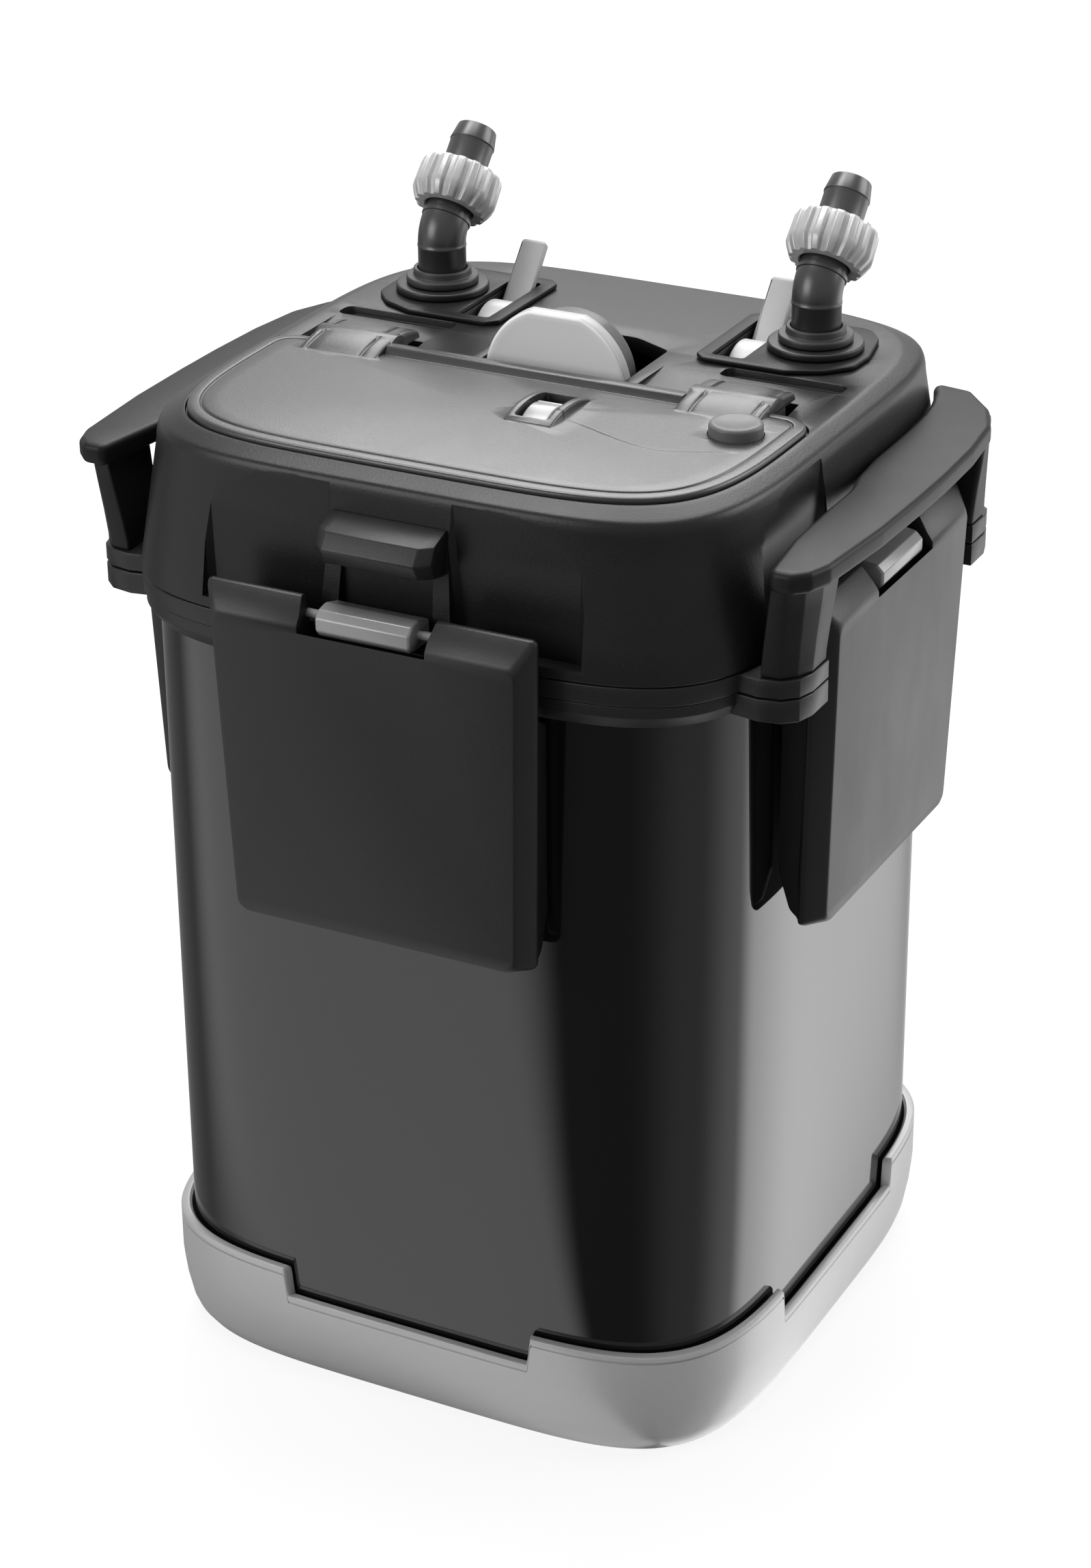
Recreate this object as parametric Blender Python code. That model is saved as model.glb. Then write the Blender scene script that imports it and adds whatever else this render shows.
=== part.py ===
# Canister filter for a pond or a large aquarium: a square pressure canister in a soft foot,
# a motor head held down by four clamps, two valved hose connectors and a hinged top lid.
# Metres, +Z up. The origin is the middle of the underside, and the front face looks to -Y.
import math

import bmesh
import bpy
from mathutils import Matrix, Vector

for old in list(bpy.data.objects):
    bpy.data.objects.remove(old, do_unlink=True)

MM = 0.001
CLEAR = 0.3 * MM              # gap between pieces that touch
ROUND = 20                    # sides of the turned pieces
SEGMENTS = 48                 # points round the rounded-square plan
CORNER_POWER = 4.8            # exponent that sets how square the plan is

# Soft foot
SKIRT_WALL = 4.5 * MM         # outer face beyond the canister's side
SKIRT_HIGH = 46 * MM          # corner height
SKIRT_FLOOR = 6 * MM
SKIRT_TUCK = 6 * MM           # how far the underside is drawn in
SKIRT_CREASE = 28 * MM
SKIRT_GAP = 1 * MM            # to the canister's sides
NOTCH_HALF = 53.5 * MM        # lowered stretch in the middle of each side
NOTCH_DEEP = 12 * MM
NOTCH_SLOPE = 2 * MM

# Canister and its collar
CANISTER_HALF = 120.5 * MM    # middle of a side to the centre line
CANISTER_WALL = 3 * MM
CANISTER_HIGH = 299.7 * MM
CANISTER_ROUND = 6 * MM       # height of the slope round its underside
COLLAR_OUT = 4.1 * MM         # collar beyond the canister's side
COLLAR_DROP = 6 * MM          # reach below the canister's rim
COLLAR_LIP = 2.9 * MM         # thickness over the rim
COLLAR_LEDGE = 6.3 * MM       # how far the lip stands inside

# Motor head
PLATE_OUT = 0.9 * MM          # head plate beyond the collar
PLATE_THICK = 7.2 * MM
TONGUE_DEEP = 8.5 * MM
TONGUE_WALL = 4 * MM
SEAL_WIDE = 1.9 * MM
SEAL_HIGH = 5 * MM
HEAD_OUT = 0.5 * MM           # foot of the shroud beyond the head plate
HEAD_TAPER = 7 * MM           # how much narrower it is under the shoulder
HEAD_HIGH = 59 * MM
HEAD_WALL = 3 * MM
POCKET_IN = 0.8 * MM         # upright floor of the wall's pockets, inside the shoulder
POCKET_FROM = 22 * MM         # a pocket runs from here to POCKET_TO, beside each tower
POCKET_TO = 74 * MM
POCKET_UP = 4 * MM            # ledge under the pockets
POCKET_DROP = 5 * MM          # their top below the deck
DECK_THICK = 6 * MM
SHOULDER = 10 * MM            # height of the rounded shoulder
SHOULDER_IN = 8 * MM          # how far the shoulder draws in
GROOVE_FROM = 56 * MM         # shallow grooves between the hinge and the hose connectors
GROOVE_TO = 104 * MM
GROOVE_WIDE = 9 * MM
GROOVE_DEEP = 3.2 * MM

# Carry handles
HANDLE_OUT = 26 * MM          # outermost reach beyond the shroud's foot
HANDLE_DROP = 17.5 * MM       # top of the grip below the deck
HANDLE_THICK = 8 * MM
POST_GAP = 2.5 * MM           # clamp to the post beside it
POST_LONG = 28 * MM
FOOT_OUT = 15.5 * MM          # post's foot beyond the shroud's foot
FOOT_BACK = 4 * MM            # foot that ends before the post's head
GRIP_FRONT = 2 * MM           # grip in front of its post

# Clamps
CLAMP_WIDE = 129 * MM
CLAMP_HIGH = 128 * MM
CLAMP_REACH = 9.1 * MM        # outer face beyond the pivot, at the top
CLAMP_LEAN = 4 * MM
CLAMP_BEVEL = 5 * MM
CLAMP_EDGE = 7 * MM           # outer face to the bevel's back edge
CLAMP_THICK = 9.5 * MM
PIVOT_OUT = 7.5 * MM          # pivot beyond the shroud's foot
CLAMP_PIVOT_UP = 11 * MM      # pivot above the shroud's foot
CLAMP_ABOVE = 7 * MM          # plate above its pivot
NOTCH_WIDE = 50 * MM          # gap in the plate for the hinge bar
BAR_WIDE = 37 * MM
BAR_REACH = 7.5 * MM          # bar in front of its axis
BAR_HIGH = 10.5 * MM
PIN_R = 1.6 * MM
CHEEK_THICK = 3.5 * MM
CHEEK_GAP = 1.1 * MM          # canister's side to the cheek that hooks under the collar
CHEEK_NECK = 3.5 * MM         # head plate's edge to the cheek
DRAW_IN = 3.5 * MM            # how much narrower each side of the clamp is at its foot

# Catch block on the shroud, above the front and back clamps
BLOCK_WIDE = 45 * MM
BLOCK_OUT = 10 * MM           # beyond the shroud's foot
BLOCK_HIGH = 16 * MM
BLOCK_UP = 29 * MM            # underside above the shroud's foot

# Lid
LID_EDGE = 1.5 * MM           # deck outside the lid
LID_REAR = -7 * MM
LID_THICK = 4.3 * MM
LID_SUNK = 2 * MM
LID_RIM = 10 * MM             # width of the ledge it lies on
LID_CORNER = 12 * MM          # radius of its rear corners
HINGE_Y = -5 * MM
HINGE_DROP = 1.5 * MM         # hinge axis below the deck
KNUCKLE_R = 8 * MM
KNUCKLE_FROM = 60.2 * MM
KNUCKLE_TO = 93 * MM
BROW_AHEAD = 19 * MM          # low bulge over the knuckle, in front of the axis
BROW_BEHIND = 17 * MM
ROD_R = 1.5 * MM
ROD_REACH = 5 * MM            # rod beyond the knuckle
RAMP_BACK = 25 * MM           # end of the ramp behind the lid
RAMP_DEEP = 3.6 * MM

# Catch slider and push button on the lid
CATCH_X = 21.5 * MM
CATCH_Y = -43.5 * MM
CATCH_WIDE = 19 * MM
CATCH_LONG = 31 * MM
CATCH_RISE = 4.4 * MM
CATCH_RAIL = 4 * MM
SLIDER_TRAVEL = 3.5 * MM
BUTTON_X = 90 * MM
BUTTON_Y = -33 * MM
BUTTON_R = 9.7 * MM
BUTTON_RISE = 4.4 * MM
BUTTON_TRAVEL = 2.5 * MM

# Flow dial behind the lid
DIAL_R = 29 * MM
DIAL_FLAT = 27 * MM           # height of the flat over the axis
DIAL_THICK = 6 * MM
DIAL_Y = 4.2 * MM
DIAL_DROP = 6 * MM            # axis below the deck
DRUM_R = 20 * MM
DRUM_LONG = 14 * MM
SPINDLE_R = 3 * MM
POCKET_WIDE = 60 * MM         # pocket round the dial
POCKET_LONG = 39 * MM         # the pocket behind the disc

# Hose connectors
HOSE_X = 78.4 * MM
HOSE_Y = 63 * MM
ADAPTER_R = 13 * MM
ADAPTER_FLANGE = 18 * MM
ADAPTER_BORE = 7 * MM
PLATE_RISE = 1.7 * MM         # thickness of the connector plate
FLANGE_THICK = 2.7 * MM
GROMMET_R = 14 * MM
GROMMET_HIGH = 5.7 * MM
SEAT_R = 11.2 * MM
PIPE_R = 9.3 * MM
PIPE_BORE = 6.8 * MM
PIPE_RISE = 15 * MM           # straight stretch of the elbow
BEND_R = 11 * MM
TILT = math.radians(43)       # how far the connector leans back
STEM = 13.7 * MM              # elbow past the bend
NUT_FROM = 5 * MM
NUT_LONG = 17 * MM
NUT_R = 16.5 * MM
NUT_FOOT_R = 14.2 * MM
NUT_RIBS = 16
BARB_LONG = 26 * MM
BARB_R = 8.6 * MM
BARB_TIP_R = 7.7 * MM
BARB_BORE = 6 * MM
BALL_R = 9.2 * MM
BALL_UP = 43.8 * MM           # valve axis above the head plate
STEM_R = 3 * MM               # valve stem between the ball and the lever's hub
LEVER_X = 53 * MM             # middle of the lever and of its slot
LEVER_LONG = 43 * MM          # valve axis to the lever's tip
LEVER_WIDE = 11 * MM
LEVER_THICK = 3.5 * MM
LEVER_LEAN = math.radians(41)
LEVER_TANG = 5 * MM           # width of the foot that is let into the hub
SLOT_SIDE = 1 * MM            # room beside the lever
SLOT_AHEAD = 23 * MM          # slot in front of the valve axis
SLOT_BEHIND = 21.5 * MM
HUB_R = 15.5 * MM
PLATE_FRONT = 28 * MM         # connector plate in front of the hose's axis
PLATE_BACK = 28 * MM
PLATE_SIDE = 21.5 * MM        # outside it
PLATE_EDGE = 5.5 * MM         # plate beyond the slot

# Motor and pump
MOTOR_Y = 25 * MM
MOTOR_R = 36 * MM
MOTOR_HIGH = 22.7 * MM
MOTOR_WALL = 2 * MM
MAGNET_R = 11.5 * MM
MAGNET_HIGH = 15 * MM
WELL_WALL = 1.6 * MM
SHAFT_R = 1.5 * MM
VOLUTE_R = 32 * MM
VOLUTE_HIGH = 19.2 * MM
VOLUTE_WALL = 2 * MM
IMPELLER_R = 22 * MM
BLADES = 5
DUCT_R = 8 * MM
DUCT_BORE = 6 * MM

# Filter baskets
BASKETS = 3
BASKET_GAP = 5.5 * MM         # to the canister's inner side
BASKET_WALL = 2 * MM
BASKET_HIGH = 88 * MM
BASKET_FOOT = 6 * MM
FLOOR_EDGE = 3.5 * MM         # inner side to the flat of the canister's floor
MEDIA_SPARE = 14 * MM         # free height over the media
RISER_R = 9.5 * MM
RISER_WALL = 2 * MM

# Gland of the mains lead
GLAND_R = 6 * MM
GLAND_LONG = 14 * MM
CORD_R = 2.6 * MM

# Widths that follow from the canister's
COLLAR_HALF = CANISTER_HALF + COLLAR_OUT
PLATE_HALF = COLLAR_HALF + PLATE_OUT
HEAD_HALF = PLATE_HALF + HEAD_OUT
SKIRT_HALF = CANISTER_HALF + SKIRT_WALL
SLEEVE = CANISTER_HALF + CLEAR
LEDGE = SLEEVE - COLLAR_LEDGE
TONGUE_HALF = LEDGE - SEAL_WIDE - 2 * CLEAR
FLOOR_HALF = CANISTER_HALF - CANISTER_WALL - FLOOR_EDGE
BASKET_HALF = CANISTER_HALF - CANISTER_WALL - BASKET_GAP
DECK_HALF = HEAD_HALF - HEAD_TAPER - SHOULDER_IN
LID_HALF = DECK_HALF - LID_EDGE
HANDLE_HALF = HEAD_HALF + HANDLE_OUT
PIVOT = HEAD_HALF + PIVOT_OUT
CLAMP_FACE = PIVOT + CLAMP_REACH
CHEEK_IN = CANISTER_HALF + CHEEK_GAP
POST_START = CLAMP_WIDE / 2 + POST_GAP
POST_END = POST_START + POST_LONG

# Levels that follow from the sizes above
CANISTER_LOW = SKIRT_FLOOR + CLEAR
FLOOR = CANISTER_LOW + CANISTER_WALL
RIM = CANISTER_LOW + CANISTER_HIGH
COLLAR_LOW = RIM - COLLAR_DROP
COLLAR_TOP = RIM + CLEAR + COLLAR_LIP
PLATE_LOW = COLLAR_TOP + CLEAR
PLATE_TOP = PLATE_LOW + PLATE_THICK
HEAD_LOW = PLATE_TOP + CLEAR
DECK = HEAD_LOW + HEAD_HIGH
LID_LOW = DECK - LID_SUNK + CLEAR
LID_TOP = LID_LOW + LID_THICK
HINGE_Z = DECK - HINGE_DROP
DIAL_Z = DECK - DIAL_DROP
CLAMP_Z = HEAD_LOW + CLAMP_PIVOT_UP
HANDLE_TOP = DECK - HANDLE_DROP
HANDLE_LOW = HANDLE_TOP - HANDLE_THICK
CONNECTOR_LOW = DECK + CLEAR
FLANGE_LOW = CONNECTOR_LOW + PLATE_RISE + CLEAR
FLANGE_TOP = FLANGE_LOW + FLANGE_THICK
BALL_Z = PLATE_TOP + BALL_UP


def look(name, color, roughness, metallic=0.0):
    made = bpy.data.materials.new(name)
    made.use_nodes = True
    shader = made.node_tree.nodes["Principled BSDF"]
    shader.inputs["Base Color"].default_value = (*color, 1.0)
    shader.inputs["Roughness"].default_value = roughness
    shader.inputs["Metallic"].default_value = metallic
    return made


def solid(name, points, faces, finish, place=(0, 0, 0), turn=0.0, sharp=35):
    mesh = bpy.data.meshes.new(name)
    mesh.from_pydata([tuple(p) for p in points], [], faces)
    shape = bmesh.new()
    shape.from_mesh(mesh)
    bmesh.ops.remove_doubles(shape, verts=shape.verts, dist=1e-7)
    bmesh.ops.recalc_face_normals(shape, faces=shape.faces)
    shape.to_mesh(mesh)
    shape.free()
    mesh.shade_smooth()
    mesh.set_sharp_from_angle(angle=math.radians(sharp))
    made = bpy.data.objects.new(name, mesh)
    bpy.context.scene.collection.objects.link(made)
    made.location = place
    made.rotation_euler = (0, 0, turn)
    if finish:
        mesh.materials.append(finish)
    return made


def loft(rings, closed=False):
    """Skin over rings of equal count; a closed loft joins its last ring to its first."""
    count = len(rings[0])
    points = [p for ring in rings for p in ring]
    faces = []
    spans = len(rings) if closed else len(rings) - 1
    for span in range(spans):
        here = span * count
        there = (span + 1) % len(rings) * count
        for k in range(count):
            nxt = (k + 1) % count
            faces.append((here + k, here + nxt, there + nxt, there + k))
    if not closed:
        faces.append(tuple(range(count)))
        faces.append(tuple(range(len(points) - count, len(points))))
    return points, faces


def outline(half, z, count=SEGMENTS):
    """One ring of the rounded-square plan, with slightly bowed sides."""
    ring = []
    for k in range(count):
        angle = 2 * math.pi * k / count
        x = math.copysign(abs(math.cos(angle)) ** (2 / CORNER_POWER), math.cos(angle))
        y = math.copysign(abs(math.sin(angle)) ** (2 / CORNER_POWER), math.sin(angle))
        ring.append(Vector((half * x, half * y, z)))
    return ring


def side_at(half, along):
    """Half width of the plan at a distance along the other axis."""
    return half * (1 - abs(along / half) ** CORNER_POWER) ** (1 / CORNER_POWER)


def front_part(half, rear, z, count=SEGMENTS // 2):
    """The plan's front part, closed by round corners and a straight edge at y = rear."""
    turn = rear - LID_CORNER
    side = side_at(half, abs(turn))
    start = math.asin((abs(turn) / half) ** (CORNER_POWER / 2))
    ring = [Vector((-side + LID_CORNER * (1 - math.sin(a)), turn + LID_CORNER * math.cos(a), z))
            for a in (0.0, math.pi / 6, math.pi / 3)]
    for k in range(count + 1):
        angle = math.pi + start + (math.pi - 2 * start) * k / count
        x = math.copysign(abs(math.cos(angle)) ** (2 / CORNER_POWER), math.cos(angle))
        y = -abs(math.sin(angle)) ** (2 / CORNER_POWER)
        ring.append(Vector((half * x, half * y, z)))
    ring += [Vector((side - LID_CORNER * (1 - math.sin(a)), turn + LID_CORNER * math.cos(a), z))
             for a in (math.pi / 3, math.pi / 6, 0.0)]
    return ring


def squared(name, profile, finish, closed=False, count=SEGMENTS):
    return solid(name, *loft([outline(half, z, count) for half, z in profile], closed), finish)


def circle(radius, height, frame=Matrix.Identity(4), count=ROUND):
    ring = []
    for k in range(count):
        angle = 2 * math.pi * k / count
        ring.append(frame @ Vector((radius * math.cos(angle), radius * math.sin(angle), height)))
    return ring


def turned(name, profile, finish, frame=Matrix.Identity(4), closed=False, count=ROUND, place=(0, 0, 0)):
    rings = [circle(radius, height, frame, count) for radius, height in profile]
    return solid(name, *loft(rings, closed), finish, place)


ALONG_X = Matrix.Rotation(math.radians(90), 4, "Y")
ALONG_Y = Matrix.Rotation(math.radians(-90), 4, "X")


def rod(name, radius, start, end, frame, finish, place, count=ROUND):
    return turned(name, [(radius, start), (radius, end)], finish, frame, False, count, place)


def prism(name, plan, low, high, finish, place=(0, 0, 0), turn=0.0):
    """A plan in x and y, raised from low to high."""
    rings = [[Vector((x, y, z)) for x, y in plan] for z in (low, high)]
    return solid(name, *loft(rings), finish, place, turn)


def slab(name, section, half, finish, place=(0, 0, 0), turn=0.0, middle=0.0):
    """A section in y and z, drawn out along x."""
    rings = [[Vector((middle + x, y, z)) for y, z in section] for x in (-half, half)]
    return solid(name, *loft(rings), finish, place, turn)


def block(name, low, high, finish=None):
    plan = [(low[0], low[1]), (high[0], low[1]), (high[0], high[1]), (low[0], high[1])]
    return prism(name, plan, low[2], high[2], finish)


def combine(target, tool, operation):
    change = target.modifiers.new(operation.lower(), "BOOLEAN")
    change.operation = operation
    change.object = tool
    change.solver = "EXACT"
    tool.hide_render = True
    tool.display_type = "WIRE"


def cut(target, *tools):
    for tool in tools:
        combine(target, tool, "DIFFERENCE")


def add(target, *tools):
    for tool in tools:
        combine(target, tool, "UNION")


def head_half(z):
    """Outer half width of the shroud's tapered wall."""
    return HEAD_HALF - HEAD_TAPER * (z - HEAD_LOW) / (HEAD_HIGH - SHOULDER)


def foot_plan(side, end):
    """Plan of the pads that carry one handle post, outside the round corner."""
    stop = POST_END - FOOT_BACK
    reach = HEAD_HALF + FOOT_OUT
    inner = []
    for k in range(4):
        y = POST_START + (stop - POST_START) * k / 3
        inner.append((side_at(COLLAR_HALF - 0.5 * (COLLAR_OUT + PLATE_OUT), y), y))
    outer = [(HEAD_HALF, stop + 0.13 * FOOT_OUT), (reach - 0.45 * FOOT_OUT, stop + 0.03 * FOOT_OUT),
             (reach - 0.13 * FOOT_OUT, stop - 0.26 * FOOT_OUT), (reach, stop - 0.71 * FOOT_OUT),
             (reach, POST_START)]
    return [(side * x, end * y) for x, y in inner + outer]


def make_base(grey):
    inner = CANISTER_HALF + SKIRT_GAP
    foot = SKIRT_HALF - SKIRT_TUCK
    skirt = squared("base_skirt", [
        (foot, 0), (foot + SKIRT_TUCK * 0.55, SKIRT_CREASE * 0.25), (SKIRT_HALF, SKIRT_CREASE),
        (SKIRT_HALF, SKIRT_HIGH), (inner, SKIRT_HIGH), (inner, SKIRT_FLOOR + CANISTER_ROUND),
        (FLOOR_HALF + CANISTER_WALL, SKIRT_FLOOR)], grey)
    low = SKIRT_HIGH - NOTCH_DEEP
    over = SKIRT_HIGH + NOTCH_DEEP
    slope = NOTCH_SLOPE / NOTCH_DEEP
    section = [(-NOTCH_HALF + NOTCH_SLOPE, low), (NOTCH_HALF - NOTCH_SLOPE, low),
               (NOTCH_HALF + slope * (over - SKIRT_HIGH), over),
               (-NOTCH_HALF - slope * (over - SKIRT_HIGH), over)]
    for name, turn in (("skirt_notch_sides", 0.0), ("skirt_notch_front", math.pi / 2)):
        cut(skirt, slab(name, section, SKIRT_HALF + NOTCH_DEEP, None, turn=turn))


def make_canister(gloss, matt):
    inner = CANISTER_HALF - CANISTER_WALL
    squared("canister", [
        (FLOOR_HALF + 0.5 * CANISTER_WALL, CANISTER_LOW), (CANISTER_HALF, CANISTER_LOW + CANISTER_ROUND),
        (CANISTER_HALF, RIM), (inner, RIM), (inner, FLOOR + CANISTER_ROUND), (FLOOR_HALF, FLOOR)], gloss)
    collar = squared("canister_collar", [
        (SLEEVE, COLLAR_LOW), (SLEEVE + 0.2 * COLLAR_OUT, COLLAR_LOW),
                                         (COLLAR_HALF, RIM - 0.17 * COLLAR_DROP),
        (COLLAR_HALF, COLLAR_TOP), (LEDGE, COLLAR_TOP), (LEDGE, RIM + CLEAR), (SLEEVE, RIM + CLEAR)],
                     matt, True)
    for side in (-1, 1):
        for end in (-1, 1):
            name = "collar_bracket_%s_%s" % ("left" if side < 0 else "right",
                                             "front" if end < 0 else "back")
            add(collar, prism(name, foot_plan(side, end), COLLAR_LOW + 2 * CLEAR, COLLAR_TOP - CLEAR / 2,
                              matt))


def make_head_plate(matt, rubber):
    inner = TONGUE_HALF - TONGUE_WALL
    plate = squared("head_plate", [
        (inner, PLATE_LOW), (inner, PLATE_LOW - TONGUE_DEEP), (TONGUE_HALF, PLATE_LOW - TONGUE_DEEP),
        (TONGUE_HALF, PLATE_LOW), (PLATE_HALF, PLATE_LOW), (PLATE_HALF, PLATE_TOP)], matt)
    for side in (-1, 1):
        for end in (-1, 1):
            name = "plate_foot_%s_%s" % ("left" if side < 0 else "right", "front" if end < 0 else "back")
            add(plate, prism(name, foot_plan(side, end), PLATE_LOW + CLEAR / 2, PLATE_TOP - CLEAR / 2,
                             matt))
    for name, x, y, radius in (("plate_hole_in", -HOSE_X, HOSE_Y, RISER_R), ("plate_hole_out", HOSE_X,
                                                                             HOSE_Y, DUCT_R),
                               ("plate_hole_rotor", 0, MOTOR_Y, MAGNET_R)):
        depth = PLATE_THICK + TONGUE_DEEP
        cut(plate, rod(name, radius + CLEAR, PLATE_TOP - depth, PLATE_TOP + depth, Matrix.Identity(4),
                       None, (x, y, 0)))
    seal_in = TONGUE_HALF + CLEAR
    seal_low = COLLAR_TOP - SEAL_HIGH
    squared("head_seal", [(seal_in, seal_low), (seal_in + SEAL_WIDE, seal_low), (seal_in + SEAL_WIDE,
                                                                                 COLLAR_TOP),
                          (seal_in, COLLAR_TOP)], rubber, True)


def make_catch_blocks(matt):
    """The two blocks on the shroud's wall, over the front and back clamps."""
    low = HEAD_LOW + BLOCK_UP
    top = low + BLOCK_HIGH
    out = -HEAD_HALF - BLOCK_OUT
    seat = CLEAR * math.hypot(1, HEAD_TAPER / (HEAD_HIGH - SHOULDER))
    section = [(-head_half(low) - seat, low), (out + 3 * MM, low + 1.5 * MM),
               (out, low + 0.45 * BLOCK_HIGH),
               (out + 4 * MM, low + 0.8 * BLOCK_HIGH), (-head_half(top) - seat, top)]
    for word, turn in (("front", 0.0), ("back", math.pi)):
        slab("catch_block_" + word, section, BLOCK_WIDE / 2, matt, turn=turn)


def make_shroud(matt):
    neck = HEAD_HALF - HEAD_TAPER
    inner = neck - POCKET_IN - HEAD_WALL
    shroud = squared("head_shroud", [
        (inner - HEAD_WALL, DECK - DECK_THICK), (inner, DECK - SHOULDER - 2 * MM), (inner, HEAD_LOW),
        (HEAD_HALF, HEAD_LOW), (neck, DECK - SHOULDER), (neck - 0.2 * SHOULDER, DECK - 0.45 * SHOULDER),
        (neck - 0.5 * SHOULDER, DECK - 0.12 * SHOULDER), (DECK_HALF, DECK)], matt)
    seat = LID_HALF + 2 * CLEAR
    high = DECK + SHOULDER
    below = DECK - 2 * DECK_THICK
    lid_rear = LID_REAR + 3 * CLEAR
    cut(shroud, solid("lid_recess", *loft([front_part(seat, lid_rear, z) for z in (DECK - LID_SUNK,
                                                                                   high)]), None))
    opening = [front_part(LID_HALF - LID_RIM, LID_REAR - LID_RIM - KNUCKLE_R / 2, z) for z in (below,
                                                                                               high)]
    cut(shroud, solid("service_opening", *loft(opening), None))
    ramp = [(lid_rear - 1 * MM, DECK - RAMP_DEEP), (RAMP_BACK, DECK - 0.2 * MM), (RAMP_BACK, high),
            (lid_rear - 1 * MM, high)]
    for side in (-1, 1):
        word = "left" if side < 0 else "right"
        cut(shroud, slab("ramp_" + word, ramp, (GROOVE_TO - POCKET_WIDE / 2) / 2 + 1 * MM, None,
                         middle=side * (GROOVE_TO + POCKET_WIDE / 2) / 2))
        ends = sorted((side * (KNUCKLE_FROM - 2 * CLEAR), side * (KNUCKLE_TO + 2 * CLEAR)))
        cut(shroud, block("knuckle_well_" + word, (ends[0], HINGE_Y - KNUCKLE_R - 2 * CLEAR, below),
                          (ends[1], HINGE_Y + BROW_BEHIND + 1 * MM, high)))
        ends = sorted((side * (KNUCKLE_FROM - ROD_REACH - CLEAR),
                       side * (KNUCKLE_TO + ROD_REACH + CLEAR)))
        cut(shroud, rod("rod_groove_" + word, ROD_R + CLEAR, ends[0], ends[1], ALONG_X, None,
                        (0, HINGE_Y, HINGE_Z), 12))
        back = HOSE_Y - PLATE_FRONT - 0.5 * MM
        ends = sorted((side * GROOVE_FROM, side * GROOVE_TO))
        cut(shroud, block("deck_groove_" + word, (ends[0], back - GROOVE_WIDE, DECK - GROOVE_DEEP),
                          (ends[1], back, high)))
    pocket_back = DIAL_Y + DIAL_THICK + POCKET_LONG
    cut(shroud, block("dial_pocket", (-POCKET_WIDE / 2, DIAL_Y - 3 * MM, below), (POCKET_WIDE / 2,
                                                                                  pocket_back, high)))
    cut(shroud, rod("button_well", BUTTON_R + 3 * MM, below, high, Matrix.Identity(4), None,
                    (BUTTON_X, BUTTON_Y, 0)))
    for word, side in (("in", -1), ("out", 1)):
        cut(shroud, rod("adapter_hole_" + word, ADAPTER_R + CLEAR, below, high, Matrix.Identity(4), None,
                        (side * HOSE_X, HOSE_Y, 0)))
        cut(shroud, lever_slot("deck_slot_" + word, side, below, high))


    floor = neck - POCKET_IN
    far = HEAD_HALF + 2 * MM
    pocket = [(POCKET_FROM, -far), (POCKET_TO, -far), (POCKET_TO, -floor), (POCKET_FROM, -floor)]
    for quarter, hands in ((0, (-1, 1)), (1, (-1,)), (2, (-1, 1)), (3, (1,))):
        for hand in hands:
            plan = [(hand * x, y) for x, y in pocket]
            cut(shroud, prism("wall_pocket_%d_%d" % (quarter, hand + 1), plan, HEAD_LOW + POCKET_UP,
                              DECK - POCKET_DROP, None, turn=quarter * math.pi / 2))


def lever_slot(name, side, low, high):
    half = LEVER_WIDE / 2 + SLOT_SIDE
    middle = side * LEVER_X
    return block(name, (middle - half, HOSE_Y - SLOT_AHEAD, low), (middle + half, HOSE_Y + SLOT_BEHIND,
                                                                   high))


def home(made, point):
    """Moves an object's origin to a point and leaves its shape where it is."""
    made.data.transform(Matrix.Translation(-Vector(point)))
    made.location = point
    return made


def grip_plan(side, z):
    """The wing-like grip: its rear half hugs the shroud, its front half stands free."""
    hug = outline(head_half(z) + CLEAR, z)
    front = -POST_END - GRIP_FRONT
    tip = POST_LONG / 2
    plan = [(hug[k].x, hug[k].y) for k in (5, 4, 3, 2, 1)] + [(hug[0].x, 0.1 * HANDLE_OUT)]
    plan += [(HEAD_HALF, -0.15 * HANDLE_OUT), (HEAD_HALF, 0.6 * -POST_START), (HEAD_HALF + 1 * MM,
                                                                               -POST_START),
             (HEAD_HALF + 0.2 * HANDLE_OUT, front), (HANDLE_HALF - 0.46 * HANDLE_OUT, front),
             (HANDLE_HALF - 0.27 * HANDLE_OUT, front + 0.36 * tip), (HANDLE_HALF - 0.15 * HANDLE_OUT,
                                                                     front + tip),
             (HANDLE_HALF - 1 * MM, 0.67 * -POST_START), (HANDLE_HALF, 0), (HANDLE_HALF - 1 * MM,
                                                                            0.6 * POST_START),
             (HANDLE_HALF - 0.15 * HANDLE_OUT, POST_START - 0.2 * tip), (HANDLE_HALF - 0.42 * HANDLE_OUT,
                                                                         POST_END - tip),
             (HEAD_HALF + 0.08 * HANDLE_OUT, POST_END + 1 * MM)]
    return [Vector((side * x, y, z)) for x, y in plan]


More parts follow.
